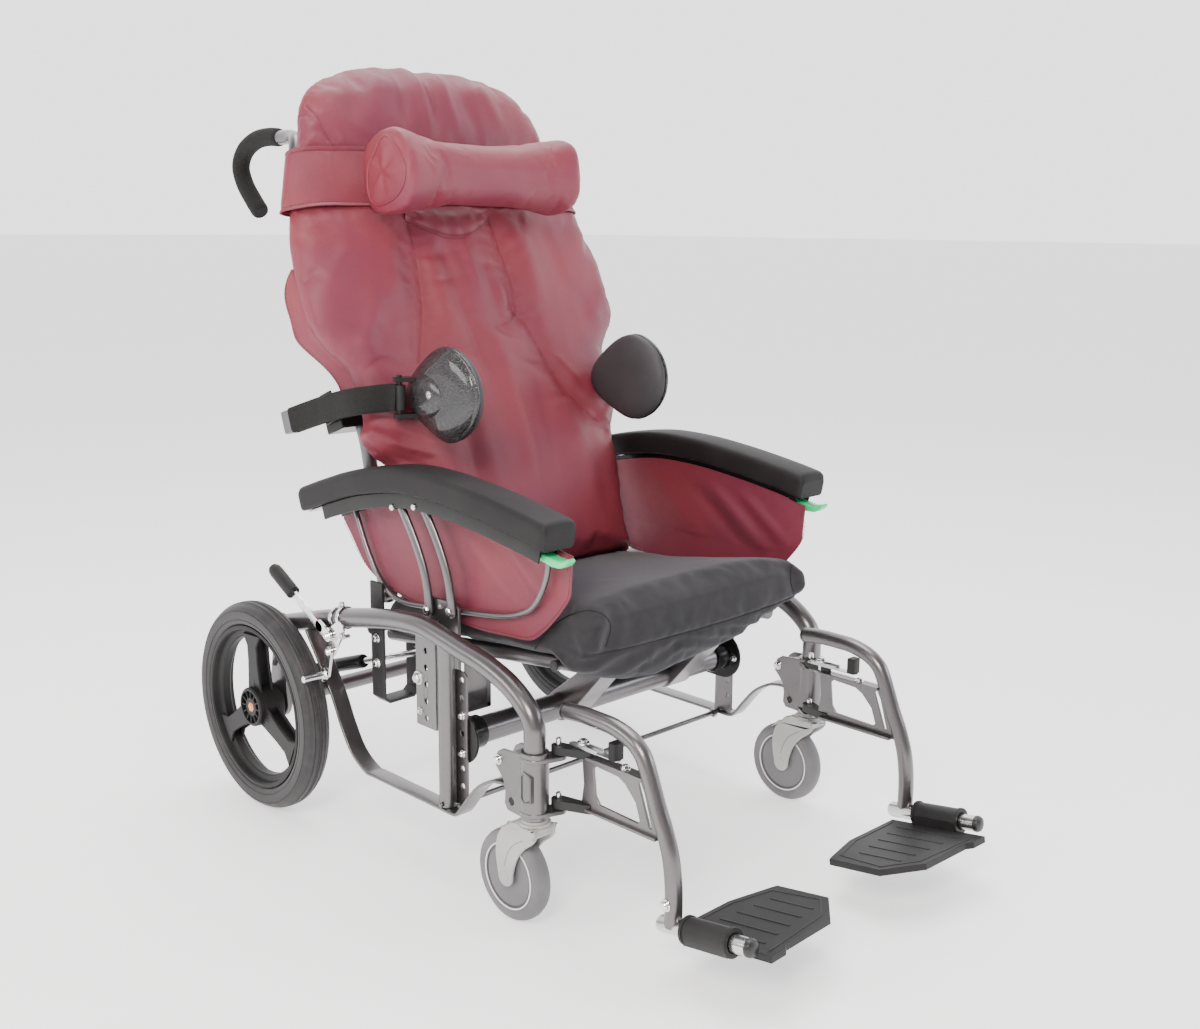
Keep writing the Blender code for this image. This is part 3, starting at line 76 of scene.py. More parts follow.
def operator(operation, swapped=False):
    def act(self, other):
        pair = (other, self) if swapped else (self, other)
        return self.shader.value("ShaderNodeMath", {"operation": operation}, dict(enumerate(pair)))

    return act


class Value:
    """A socket of a material's nodes that can stand in a sum."""

    def __init__(self, shader, socket):
        self.shader = shader
        self.socket = socket

    __add__ = __radd__ = operator("ADD")
    __mul__ = __rmul__ = operator("MULTIPLY")
    __sub__ = operator("SUBTRACT")
    __rsub__ = operator("SUBTRACT", True)


class Shader:
    """The nodes of one finish."""

    def __init__(self, name, slot, **numbers):
        self.slot = slot
        self.material = bpy.data.materials.new(name)
        self.material.use_nodes = True
        self.tree = self.material.node_tree
        self.surface = self.tree.nodes["Principled BSDF"]
        self.set(**numbers)
        self.place = self.value("ShaderNodeTexCoord", output="Object")

    def set(self, **sockets):
        """Feeds the Principled BSDF: Base_Color stands for Base Color, and so on."""
        for name, given in sockets.items():
            self.feed(self.surface.inputs[name.replace("_", " ")], given)

    def feed(self, socket, given):
        if isinstance(given, Value):
            self.tree.links.new(given.socket, socket)
        elif socket.type == "RGBA":
            socket.default_value = (*given, 1)
        else:
            socket.default_value = given

    def value(self, kind, settings=None, sockets=None, output=0):
        made = self.tree.nodes.new(kind)
        for name, given in (settings or {}).items():
            setattr(made, name, given)
        for name, given in (sockets or {}).items():
            self.feed(made.inputs[name], given)
        return Value(self, made.outputs[output])

    def stretched(self, scale):
        return self.value("ShaderNodeMapping", None, {"Vector": self.place, "Scale": scale})

    def cloud(self, scale, detail=2.0, place=None):
        sockets = {"Vector": place or self.place, "Scale": scale, "Detail": detail}
        return self.value("ShaderNodeTexNoise", None, sockets, "Fac")

    def cells(self, scale, feature="DISTANCE_TO_EDGE"):
        sockets = {"Vector": self.place, "Scale": scale}
        return self.value("ShaderNodeTexVoronoi", {"feature": feature}, sockets, "Distance")

    def ramp(self, given, low, high):
        sockets = {"Value": given, "From Min": low, "From Max": high}
        return self.value("ShaderNodeMapRange", {"interpolation_type": "SMOOTHSTEP"}, sockets)

    def mix(self, factor, first, second):
        return self.value(
            "ShaderNodeMix", {"data_type": "RGBA"}, {0: factor, 6: first, 7: second}, 2
        )

    def bump(self, height, distance, strength=1.0):
        sockets = {"Height": height, "Distance": distance, "Strength": strength}
        return self.value("ShaderNodeBump", None, sockets)


def paint_finish():
    """Grey metallic lacquer: fine flake under a clear coat, faintly uneven."""
    look = Shader("frame_paint", "grey_paint", Metallic=0.88, Coat_Weight=0.35, Coat_Roughness=0.12)
    flake = look.cells(2600, "F1")
    tone = look.cloud(9, 3)
    sparkle = look.ramp(flake * 0.55 + tone * 0.5, 0.2, 0.8)
    look.set(
        Base_Color=look.mix(sparkle, (0.118, 0.110, 0.114), (0.180, 0.167, 0.172)),
        Roughness=0.31 + 0.05 * look.cloud(40, 3),
        Normal=look.bump(look.cloud(900, 2), 0.00003, 0.3),
    )
    return look


def metal_finish(name, slot, colour, rough, brushed=0.0):
    """Bare or plated metal with fine drawn marks, which roughen it where it is brushed."""
    look = Shader(name, slot, Metallic=1.0)
    marks = look.cloud(900, 3, look.stretched((1, 0.08, 1)))
    look.set(
        Base_Color=look.mix(look.cloud(30, 3), tuple(0.88 * c for c in colour), colour),
        Roughness=rough + 0.10 * look.cloud(120, 4) + brushed * marks,
        Normal=look.bump(marks, 0.00003, 0.4),
    )
    return look


def plastic_finish(name, slot, dark, pale, rough, grain=900, depth=0.00006, coat=0.0, **more):
    """Moulded plastic or rubber: a fine tooled grain, and slight unevenness of tone and gloss."""
    look = Shader(name, slot, Coat_Weight=coat, Coat_Roughness=0.1, **more)
    tone = look.cloud(14, 4)
    tooth = look.cloud(grain, 2)
    look.set(
        Base_Color=look.mix(look.ramp(tone, 0.3, 0.7), dark, pale),
        Roughness=rough + 0.12 * tone + 0.06 * tooth,
        Normal=look.bump(tooth, depth),
    )
    return look


def hammered_finish():
    """Black enamel with a hammered, orange-peel skin."""
    look = Shader("hammered_black", "black_plastic", Coat_Weight=0.6, Coat_Roughness=0.06)
    lumps = look.ramp(look.cells(420, "SMOOTH_F1"), 0.1, 0.7)
    look.set(
        Base_Color=look.mix(look.cloud(60, 3), (0.010, 0.010, 0.011), (0.022, 0.022, 0.024)),
        Roughness=0.20 + 0.08 * look.cloud(200, 3),
        Normal=look.bump(lumps, 0.00085, 1.0),
    )
    return look


def foam_finish():
    """Open black foam: pores painted dark as shade, between paler walls."""
    look = Shader("foam_sleeve", "black_foam", Specular_IOR_Level=0.3)
    pits_and_shade = look.ramp(look.cells(1500), 0.02, 0.22)
    look.set(
        # The low pores take the dark colour: painted shade.
        Base_Color=look.mix(pits_and_shade, (0.006, 0.006, 0.006), (0.032, 0.031, 0.031)),
        Roughness=0.86 + 0.1 * look.cloud(60, 2),
        Normal=look.bump(pits_and_shade + 0.6 * look.cloud(450, 3), 0.00030),
    )
    return look


def vinyl_finish(name="burgundy_vinyl", shade=1.0):
    """Coated cloth: fine leather grain with painted shade in its hollows, and warm and cool tones
    that wander at random as painted highlight and shade.
    """
    look = Shader(name, "vinyl", Specular_IOR_Level=0.42, Coat_Weight=0.06, Coat_Roughness=0.35)
    pebbles = look.ramp(look.cells(780), 0.0, 0.30)
    grain = pebbles * (0.7 + 0.6 * look.cloud(210, 3)) + 0.5 * look.cloud(1500, 2)
    cool, warm, hollow_shade = (
        tuple(shade * c for c in colour)
        for colour in ((0.190, 0.027, 0.056), (0.245, 0.037, 0.053), (0.11, 0.012, 0.022))
    )
    # Warm and cool tones set by slow noise: painted highlight and shade, placed at random.
    base = look.mix(look.ramp(look.cloud(5.5, 3), 0.30, 0.70), cool, warm)
    look.set(
        # The grain's low edges take the darker colour: painted shade in its hollows.
        Base_Color=look.mix(0.75 + 0.25 * pebbles, hollow_shade, base),
        Roughness=0.40 + 0.12 * look.cloud(25, 4) - 0.05 * pebbles,
        Normal=look.bump(grain, 0.00016, 0.75),
    )
    return look


def cloth_finish():
    """Black stretch cloth: a fine knit with a dull bloom."""
    look = Shader(
        "seat_cloth", "cloth", Sheen_Weight=0.30, Sheen_Roughness=0.45, Specular_IOR_Level=0.22
    )
    look.set(Sheen_Tint=(0.55, 0.56, 0.60))
    knit = look.cloud(1700, 1, look.stretched((1, 2.2, 1.0))) + 0.5 * look.cells(1300, "F1")
    tone = look.cloud(7, 4)
    fade = look.ramp(tone * 0.7 + 0.5 * look.cloud(90, 3), 0.35, 0.85)
    look.set(
        Base_Color=look.mix(fade, (0.018, 0.017, 0.020), (0.027, 0.025, 0.028)),
        Roughness=0.80 + 0.12 * tone,
        Normal=look.bump(knit, 0.00022, 0.8),
    )
    return look


def tyre_finish():
    """Solid dark rubber, a little dusty on the tread."""
    look = Shader("tyre_rubber", "tyre", Specular_IOR_Level=0.4)
    dust = look.ramp(look.cloud(55, 5), 0.42, 0.80)
    look.set(
        Base_Color=look.mix(dust, (0.026, 0.024, 0.027), (0.056, 0.050, 0.050)),
        Roughness=0.50 + 0.22 * dust,
        Normal=look.bump(look.cloud(900, 3), 0.00010),
    )
    return look


PAINT = paint_finish()
CHROME = metal_finish("bright_chrome", "chrome", (0.80, 0.80, 0.81), 0.08)
ZINC = metal_finish("zinc_plate", "chrome", (0.62, 0.63, 0.64), 0.26, 0.10)
STEEL_TUBE = metal_finish("foot_tube_chrome", "chrome", (0.66, 0.65, 0.65), 0.16, 0.05)
COPPER = metal_finish("copper_bolt", "chrome", (0.93, 0.36, 0.14), 0.30)
BLACK_GLOSS = plastic_finish(
    "black_enamel",
    "black_metal",
    (0.008, 0.008, 0.008),
    (0.014, 0.014, 0.014),
    0.14,
    500,
    0.00004,
    0.05,
    Specular_IOR_Level=0.16,
)
BLACK_SATIN = plastic_finish(
    "black_coat",
    "black_metal",
    (0.014, 0.014, 0.015),
    (0.026, 0.025, 0.025),
    0.38,
    1100,
    0.00007,
    Specular_IOR_Level=0.30,
)
PLASTIC = plastic_finish(
    "black_moulding",
    "black_plastic",
    (0.009, 0.009, 0.010),
    (0.019, 0.018, 0.018),
    0.42,
    1000,
    0.00010,
    Specular_IOR_Level=0.28,
)
DARK_GREY = plastic_finish(
    "dark_cap", "black_plastic", (0.010, 0.010, 0.011), (0.018, 0.018, 0.019), 0.30
)
PALE = plastic_finish(
    "fork_plastic", "pale_plastic", (0.36, 0.355, 0.350), (0.43, 0.42, 0.41), 0.40, 700, 0.00005
)
# A darker grey than the fork: painted shade for the grooves down the fork legs.
GROOVE_SHADE = plastic_finish(
    "fork_groove", "pale_plastic", (0.20, 0.196, 0.193), (0.25, 0.244, 0.240), 0.5
)
CASTER_TYRE = plastic_finish(
    "caster_rubber", "caster_tyre", (0.120, 0.118, 0.125), (0.165, 0.161, 0.170), 0.52, 500, 0.00010
)
CASTER_DISC = plastic_finish(
    "caster_hub", "caster_tyre", (0.115, 0.115, 0.125), (0.150, 0.150, 0.160), 0.40
)
RING = plastic_finish("caster_ring", "pale_plastic", (0.74, 0.74, 0.73), (0.80, 0.80, 0.79), 0.35)
TYRE = tyre_finish()
PAD = plastic_finish(
    "arm_pad_skin",
    "moulded_pad",
    (0.008, 0.007, 0.008),
    (0.015, 0.013, 0.014),
    0.50,
    1300,
    0.00014,
    Specular_IOR_Level=0.26,
)
DOME = plastic_finish(
    "support_pad",
    "black_plastic",
    (0.030, 0.029, 0.033),
    (0.042, 0.041, 0.046),
    0.50,
    1500,
    0.00008,
)
GREEN = plastic_finish(
    "green_lever",
    "green_plastic",
    (0.010, 0.56, 0.17),
    (0.025, 0.68, 0.24),
    0.28,
    600,
    0.00003,
    0.4,
)
HAMMERED = hammered_finish()
BAR_END = plastic_finish(
    "bar_end_grey", "black_plastic", (0.10, 0.10, 0.112), (0.13, 0.13, 0.144), 0.35
)
FOAM = foam_finish()
VINYL = vinyl_finish()
# A darker copy of the vinyl: painted shade for the side guards and for the neck flap under the
# roll.
VINYL_SHADED = vinyl_finish("burgundy_vinyl_shaded", 0.92)
CLOTH = cloth_finish()
THREAD = plastic_finish(
    "burgundy_thread", "vinyl", (0.10, 0.014, 0.020), (0.15, 0.025, 0.030), 0.7, 2500, 0.0001
)
BLACK_THREAD = plastic_finish(
    "black_thread", "cloth", (0.006, 0.006, 0.006), (0.012, 0.012, 0.012), 0.8, 2500, 0.0001
)


# Shapes


def circle(y, z, radius, count=24, start=0.0, sweep_angle=2 * math.pi):
    """Points on a circle, or on an arc with both of its ends."""
    whole = sweep_angle >= 2 * math.pi - 1e-6
    steps = count if whole else count - 1
    angles = [start + sweep_angle * i / steps for i in range(count)]
    return [(y + radius * math.cos(a), z + radius * math.sin(a)) for a in angles]


def wrapped(*circles, count=24):
    """The outline of a band wrapped round circles given as (u, v, radius)."""
    points = [Vector(p) for u, v, radius in circles for p in circle(u, v, radius, count)]
    return [tuple(points[i]) for i in geometry.convex_hull_2d(points)]


def rounded(width, height, radius, steps=3):
    """A rectangle with round corners, about its middle."""
    points = []
    for i, (u, v) in enumerate(((1, 1), (-1, 1), (-1, -1), (1, -1))):
        middle = (u * (width / 2 - radius), v * (height / 2 - radius))
        points += circle(*middle, radius, steps + 1, i * math.pi / 2, math.pi / 2)
    return points


def oblong(low_u, high_u, low_v, high_v):
    """A rectangle between two corners."""
    return [(low_u, low_v), (high_u, low_v), (high_u, high_v), (low_u, high_v)]


def mirrored(half, shared=True):
    """Half a wheel's profile and its mirror image. Its last point may be shared."""
    return [*half, *[(radius, -along) for radius, along in half[-2 if shared else -1 :: -1]]]


def squared(given, power):
    """A cosine or sine drawn out towards a box's corners, where power is below 1."""
    return math.copysign(abs(given) ** power, given)


def through(points, steps=8):
    """Points on a smooth curve through the given ones."""
    knots = [Vector(p) for p in points]
    knots = [2 * knots[0] - knots[1], *knots, 2 * knots[-1] - knots[-2]]
    found = []
    for a, b, c, d in zip(knots, knots[1:], knots[2:], knots[3:]):
        for step in range(steps):
            t = step / steps
            reached = 2 * b + (c - a) * t + (2 * a - 5 * b + 4 * c - d) * t**2
            found.append(0.5 * (reached + (3 * b - a - 3 * c + d) * t**3))
    return [*found, knots[-2]]


def flat_line(x, path, steps=8):
    """A smooth fore-and-aft line at x through points of (y, z)."""
    return through([at(x, y, z) for y, z in path], steps)


def smooth(low, high, given):
    """Goes smoothly from 0 at low to 1 at high."""
    t = min(1.0, max(0.0, (given - low) / (high - low)))
    return t * t * (3 - 2 * t)


def bell(given, middle, width):
    """1 at the middle, and gone two widths away."""
    return math.exp(-(((given - middle) / width) ** 2))


def upright(x):
    """Places a fore-and-aft outline of (y, z) at x. Thickness goes along +X."""
    turn = Matrix(((0, 0, 1), (1, 0, 0), (0, 1, 0))).to_4x4()
    return Matrix.Translation((x, -STEM_SETBACK, 0)) @ turn


def level(z):
    """Places a level outline of (x, y) at z. Thickness goes along +Z."""
    return Matrix.Translation((0, -STEM_SETBACK, z))


def aimed(place, along):
    """A frame at a point whose Z goes along a direction."""
    return Matrix.Translation(place) @ along.to_track_quat("Z", "X").to_matrix().to_4x4()


def stations(path, side=None):
    """A frame at each point of a path: X across, Z along."""
    found = []
    across = side
    for i, point in enumerate(path):
        along = (path[min(i + 1, len(path) - 1)] - path[max(i - 1, 0)]).normalized()
        across = along.orthogonal() if across is None else across
        across = (across - along * across.dot(along)).normalized()
        turn = Matrix((across, along.cross(across), along)).transposed()
        found.append(Matrix.Translation(point) @ turn.to_4x4())
    return found


def loft(shape, outline, places):
    """Extrudes a closed outline of (u, v) from frame to frame, and closes its ends."""
    start = shape.faces.new([shape.verts.new(places[0] @ Vector((u, v, 0))) for u, v in outline])
    ring = list(start.edges)
    for last, place in zip(places, places[1:]):
        made = bmesh.ops.extrude_edge_only(shape, edges=ring)["geom"]
        verts = {v for v in made if isinstance(v, bmesh.types.BMVert)}
        ring = [e for e in made if isinstance(e, bmesh.types.BMEdge) and set(e.verts) <= verts]
        bmesh.ops.transform(shape, matrix=place @ last.inverted(), verts=list(verts))
    bmesh.ops.contextual_create(shape, geom=ring)
    return shape


def sweep(shape, outline, path, side=None, sizes=None):
    """Takes an outline along a path. sizes scale it across and along at each point."""
    places = stations(path, side)
    if sizes:
        places = [place @ Matrix.Diagonal((u, v, 1, 1)) for place, (u, v) in zip(places, sizes)]
    return loft(shape, outline, places)


def pipe(shape, path, radius, count=24, side=None):
    return sweep(shape, circle(0, 0, radius, count), path, side)


def rod(shape, start, end, radius, count=24, far_radius=None):
    bmesh.ops.create_cone(
        shape,
        cap_ends=True,
        segments=count,
        radius1=radius,
        radius2=radius if far_radius is None else far_radius,
        depth=(end - start).length,
        matrix=aimed((start + end) / 2, end - start),
    )
    return shape


def crossbar(shape, near_x, far_x, spot, radius, count=24, far_radius=None):
    """A rod straight across the chair at a spot of (y, z)."""
    return rod(shape, at(near_x, *spot), at(far_x, *spot), radius, count, far_radius)


def slab(shape, outline, place, thickness, holes=()):
    """A flat plate, with any holes, and its thickness along the frame's Z."""
    edges = []
    for loop in (outline, *holes):
        verts = [shape.verts.new(place @ Vector((u, v, 0))) for u, v in loop]
        edges += [shape.edges.new((a, b)) for a, b in zip(verts, verts[1:] + verts[:1])]
    if holes:
        filled = bmesh.ops.triangle_fill(
            shape, use_beauty=True, use_dissolve=False, edges=edges
        )["geom"]
    else:
        filled = bmesh.ops.contextual_create(shape, geom=edges)["faces"]
    faces = [f for f in filled if isinstance(f, bmesh.types.BMFace)]
    made = bmesh.ops.extrude_face_region(shape, geom=faces)["geom"]
    verts = [v for v in made if isinstance(v, bmesh.types.BMVert)]
    bmesh.ops.translate(shape, verts=verts, vec=place.to_3x3() @ Vector((0, 0, thickness)))
    return shape


def lathe(shape, profile, centre, axis, steps=48, closed=False):
    """Spins (radius, distance along) points about an axis."""
    place = aimed(centre, axis)
    verts = [shape.verts.new(place @ Vector((radius, 0, along))) for radius, along in profile]
    edges = [shape.edges.new(ends) for ends in zip(verts, verts[1:])]
    if closed:
        edges.append(shape.edges.new((verts[-1], verts[0])))
    bmesh.ops.spin(
        shape,
        geom=verts + edges,
        cent=centre,
        axis=axis,
        dvec=(0, 0, 0),
        angle=2 * math.pi,
        steps=steps,
        use_merge=True,
    )
    return shape


WASHER = 0.0012


def bolt(shape, place, along, radius, height=None, sides=6, washer=True):
    """A screw head with a tapered top that stands out from a face, on a washer."""
    along = along.normalized()
    height = height or 0.9 * radius
    low = 0.0
    if washer:
        low = WASHER
        rod(shape, place - 0.001 * along, place + low * along, 1.35 * radius, 20)
    rod(shape, place + (low - 0.0005) * along, place + (low + 0.7 * height) * along, radius, sides)
    taper = place + (low + 0.65 * height) * along
    rod(shape, taper, place + (low + height) * along, 0.97 * radius, sides, 0.72 * radius)
    return shape


def joined(shape, rows):
    """Skins rings of vertices one after another, and returns the edges of each."""
    edges = []
    for row in rows:
        edges.append([shape.edges.new(ends) for ends in zip(row, row[1:] + row[:1])])
    for low, high in zip(edges, edges[1:]):
        bmesh.ops.bridge_loops(shape, edges=[*low, *high])
    return edges


def closed_ends(shape, rows):
    """Skins rings of vertices to a closed form."""
    edges = joined(shape, rows)
    for ring in (edges[0], edges[-1]):
        bmesh.ops.contextual_create(shape, geom=ring)
    return shape


def area(shape):
    return sum(face.calc_area() for face in shape.faces)


def thickened(shape, thickness):
    """Gives an open sheet its thickness."""
    bmesh.ops.recalc_face_normals(shape, faces=shape.faces)
    bmesh.ops.solidify(shape, geom=shape.faces[:], thickness=thickness)
    return shape


def new():
    return bmesh.new()


def tidy(shape):
    """Merges doubled points and turns the faces outwards."""
    bmesh.ops.remove_doubles(shape, verts=shape.verts, dist=1e-6)
    bmesh.ops.recalc_face_normals(shape, faces=shape.faces)
    return shape


def stand(name, data):
    """Puts a mesh, lamp or camera in the scene as an object of this name."""
    made = bpy.data.objects.new(name, data)
    bpy.context.scene.collection.objects.link(made)
    return made


def mesh_of(name, shape):
    mesh = bpy.data.meshes.new(name)
    shape.to_mesh(mesh)
    return mesh


def piece(name, shape, look, body, nodes=(), bevel=0.0, segments=2, subdivide=0, sharp=32):
    """Files a shape as a named piece on a CAD body, standing for the nodes that it replaces."""
    mesh = mesh_of(name, tidy(shape))
    shape.free()
    made = stand(name, mesh)
    mesh.materials.append(look.material)
    mesh.polygons.foreach_set("use_smooth", [True] * len(mesh.polygons))
    mesh.set_sharp_from_angle(angle=math.radians(sharp))
    if bevel:
        edge = made.modifiers.new("edge", "BEVEL")
        edge.width = bevel
        edge.segments = segments
        edge.limit_method = "ANGLE"
        edge.angle_limit = math.radians(sharp)
        edge.use_clamp_overlap = True
    if subdivide:
        finer = made.modifiers.new("finer", "SUBSURF")
        finer.levels = finer.render_levels = subdivide
    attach(made, body)
    if nodes:
        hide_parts(*nodes)
    return made


def both(name, shape, look, body, nodes=(), **more):
    """The left piece and its mirror image. A body or node name with {} takes the side."""
    tidy(shape)
    made = []
    for side, sign in SIDES:
        own = shape.copy()
        if sign < 0:
            bmesh.ops.scale(own, vec=(-1, 1, 1), verts=own.verts)
        own_nodes = [node.format(side) for node in nodes]
        made.append(piece(f"{name}_{side}", own, look, body.format(side), own_nodes, **more))
    shape.free()
    return made


# Camera and light


PHOTO_WIDTH = 1200
FOCAL_LENGTH_IN_PIXELS = 1390.7844
SENSOR_WIDTH = 36.0
CAMERA_PLACE = (-1.3949, -1.4914, 0.8994)
CAMERA_AZIMUTH = math.radians(-44.4188)
CAMERA_ELEVATION = math.radians(11.8184)
CAMERA_ROLL = math.radians(0.4808)
LAMP_TARGET = (0, -0.1, 0.55)
LAMPS = (
    ("key", (-2.4, -1.7, 2.3), (1.0, 1.0), 105, (1.0, 0.91, 0.83)),
    ("left_fill", (-3.0, 1.0, 1.6), (0.8, 2.0), 45, (1.0, 0.97, 0.95)),
    ("right_fill", (2.4, -2.6, 1.5), (0.9, 1.8), 38, (0.86, 0.91, 1.0)),
    ("top", (0.2, 0.3, 3.2), (2.4, 1.6), 70, (1, 1, 1)),
)
BRIGHT_WALL = (0.70, 0.71, 0.10)
FLOOR_REACH = 80


def stand_camera():
    """The photograph's view, found from the chair's own straight and round parts."""
    data = bpy.data.cameras.new("camera")
    data.sensor_width = SENSOR_WIDTH
    data.sensor_fit = "HORIZONTAL"
    data.lens = FOCAL_LENGTH_IN_PIXELS / PHOTO_WIDTH * SENSOR_WIDTH
    data.clip_start = 0.05
    out = math.cos(CAMERA_ELEVATION)
    sine, cosine = math.sin(CAMERA_AZIMUTH), math.cos(CAMERA_AZIMUTH)
    back = Vector((sine * out, -cosine * out, math.sin(CAMERA_ELEVATION)))
    right = UPWARD.cross(back).normalized()
    up = back.cross(right)
    c, s = math.cos(CAMERA_ROLL), math.sin(CAMERA_ROLL)
    right, up = c * right + s * up, c * up - s * right
    camera = stand("camera", data)
    turn = Matrix((right, up, back)).transposed().to_4x4()
    camera.matrix_world = Matrix.Translation(CAMERA_PLACE) @ turn
    bpy.context.scene.camera = camera


def soft_light(name, place, size, power, colour):
    """A soft box that looks at the chair's middle."""
    data = bpy.data.lights.new(name, "AREA")
    data.shape = "RECTANGLE"
    data.size, data.size_y = size
    data.energy = power
    data.color = colour
    lamp = stand(name, data)
    lamp.matrix_world = aimed(Vector(place), Vector(place) - Vector(LAMP_TARGET))


def studio():
    """A white room with one brighter wall for the tubes and gloss to mirror, and a pale floor."""
    world = bpy.data.worlds.new("studio")
    bpy.context.scene.world = world
    world.use_nodes = True
    nodes, links = world.node_tree.nodes, world.node_tree.links
    backdrop = nodes["Background"]
    backdrop.inputs["Color"].default_value = (0.99, 0.99, 1.0, 1)
    towards = nodes.new("ShaderNodeTexCoord")
    facing = nodes.new("ShaderNodeVectorMath")
    facing.operation = "DOT_PRODUCT"
    facing.inputs[1].default_value = BRIGHT_WALL
    glow = nodes.new("ShaderNodeMapRange")
    glow.interpolation_type = "SMOOTHSTEP"
    for name, given in (("From Min", -0.15), ("From Max", 0.75), ("To Min", 0.36), ("To Max", 2.4)):
        glow.inputs[name].default_value = given
    links.new(towards.outputs["Generated"], facing.inputs[0])
    links.new(facing.outputs["Value"], glow.inputs["Value"])
    links.new(glow.outputs["Result"], backdrop.inputs["Strength"])
    for lamp in LAMPS:
        soft_light(*lamp)
    floor = new()
    bmesh.ops.create_grid(floor, x_segments=1, y_segments=1, size=FLOOR_REACH)
    mesh = mesh_of("floor", floor)
    floor.free()
    ground = stand("floor", mesh)
    pale = plastic_finish(
        "pale_floor", "pale_plastic", (0.90, 0.90, 0.90), (0.92, 0.92, 0.92), 0.7, 60, 0.0
    )
    pale.set(Emission_Color=(1, 1, 1), Emission_Strength=0.85)
    mesh.materials.append(pale.material)
    ground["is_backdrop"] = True


stand_camera()
studio()


# Base frame

FRAME_X = 0.287
FRAME_R = 0.0143
FRAME_PATH = (
    (0.574, 0.290), (0.438, 0.326), (0.338, 0.347), (0.271, 0.357), (0.220, 0.358), (0.147, 0.345),
    (0.090, 0.334), (0.045, 0.318), (0.013, 0.296), (0.001, 0.276), (0.0, 0.260), (0.0, 0.2443),
)
HOUSING_TOP = 0.244
HOUSING_BOTTOM = 0.154
HINGE = (0.262, -0.018)
POST_Y = 0.178
STRAP_Z = 0.11145
WHEEL_X = 0.3275
WHEEL_Y, WHEEL_Z = AXLE = (0.590, 0.163)
WHEEL_RADIUS = 0.163
TILT = (0.168, 0.213)
RAIL_FOOT, RAIL_TOP = 0.205, 0.364
SPRING_X = -0.218
SPRING_FOOT, SPRING_TOP = (0.590, 0.198), (0.300, 0.294)


def frame_line(start=0.0, end=1.0):
    """Part of the side frame's middle line, from rear to front, between two shares of it."""
    line = flat_line(FRAME_X, FRAME_PATH)
    return line[round(start * (len(line) - 1)) : round(end * (len(line) - 1)) + 1]


def base_tubes():
    """The bent side tubes, posts, straps, tie bar and height rails."""
    tube = pipe(new(), frame_line(), FRAME_R, 36, ACROSS)
    both("side_frame", tube, PAINT, "base", ["frame_tube_{}"])

    post = rod(new(), at(FRAME_X, POST_Y, 0.1142), at(FRAME_X, POST_Y, 0.345), 0.0125, 32)
    holes = [circle(0.158, 0.145 + 0.0253 * i, 0.004, 20) for i in range(7)]
    outline = [
        (0.148, 0.121), (0.152, 0.117), (0.180, 0.117), (0.180, 0.309), (0.154, 0.309),
        (0.148, 0.303),
    ]
    slab(post, outline, upright(0.2745), 0.003, holes)
    both("post", post, PAINT, "base", ["post_{}"], bevel=0.0005)
    caps = rod(new(), at(FRAME_X, POST_Y, 0.1095), at(FRAME_X, POST_Y, 0.1145), 0.0065, 6)
    bolt(caps, at(0.3008, POST_Y - 0.002, 0.119), ACROSS, 0.0035, sides=16, washer=False)
    both("post_bolts", caps, PAINT, "base", bevel=0.0006)

    path = [
        (0.505, 0.296), (0.444, 0.214), (0.417, 0.166), (0.392, 0.132), (0.358, STRAP_Z + 0.001),
        (0.330, STRAP_Z), (POST_Y + 0.012, STRAP_Z), (POST_Y - 0.024, STRAP_Z), (0.142, 0.118),
        (0.122, 0.143), (0.100, 0.167), (0.074, 0.183), (0.055, 0.188), (0.041, 0.189),
    ]
    strap = sweep(new(), rounded(0.027, 0.0045, 0.0014), flat_line(FRAME_X, path, 6), ACROSS)
    both("lower_strap", strap, PAINT, "base")

    rail = crossbar(new(), -0.2738, 0.2738, (POST_Y, STRAP_Z), 0.004, 16)
    for _, sign in SIDES:
        crossbar(rail, sign * 0.262, sign * 0.2690, (POST_Y, STRAP_Z), 0.0075, 6)
    piece("tie_bar", rail, PAINT, "base", ["lower_frame"], bevel=0.0004)

    holes = [circle(0.2445, 0.219 + 0.0245 * i, 0.004, 20) for i in range(6)]
    web = slab(new(), oblong(0.222, 0.267, RAIL_FOOT, RAIL_TOP), upright(0.2694), 0.0030, holes)
    for low in (0.222, 0.253):
        slab(web, oblong(low, low + 0.014, RAIL_FOOT, RAIL_TOP), upright(0.2636), 0.0060)
    both("height_rail_channel", web, PAINT, "base", ["height_rail_{}"], bevel=0.0010)
    fixings = new()
    bolt(fixings, at(0.2725, 0.261, 0.274), ACROSS, 0.0075, 0.006)
    bolt(fixings, at(0.2725, 0.258, 0.226), ACROSS, 0.0040, 0.004)
    both("rail_bolts", fixings, ZINC, "base", bevel=0.0005)


def axle_assembly():
    """The rear axle with its end plates, and the lug that carries the gas spring's foot."""
    axle = crossbar(new(), -0.299, 0.299, AXLE, 0.0125, 32)
    for _, sign in SIDES:
        outline = wrapped((*AXLE, 0.026), (0.579, 0.292, 0.014))
        slab(axle, outline, upright(0.2902 if sign > 0 else -0.2998), 0.0096)
        crossbar(axle, sign * 0.299, sign * 0.342, AXLE, 0.006, 20)
    slab(axle, wrapped((*AXLE, 0.011), (*SPRING_FOOT, 0.009)), upright(-0.2065), 0.006)
    crossbar(axle, -0.2284, -0.2035, SPRING_FOOT, 0.004, 20)
    piece("axle_and_plates", axle, PAINT, "base", ["rear_axle"], bevel=0.0014)
    nuts = new()
    for _, sign in SIDES:
        bolt(nuts, at(sign * 0.2902, WHEEL_Y + 0.001, 0.200), -sign * ACROSS, 0.006)
        bolt(nuts, at(sign * 0.2902, WHEEL_Y - 0.006, 0.262), -sign * ACROSS, 0.005)
    piece("axle_nuts", nuts, ZINC, "base", bevel=0.0005)


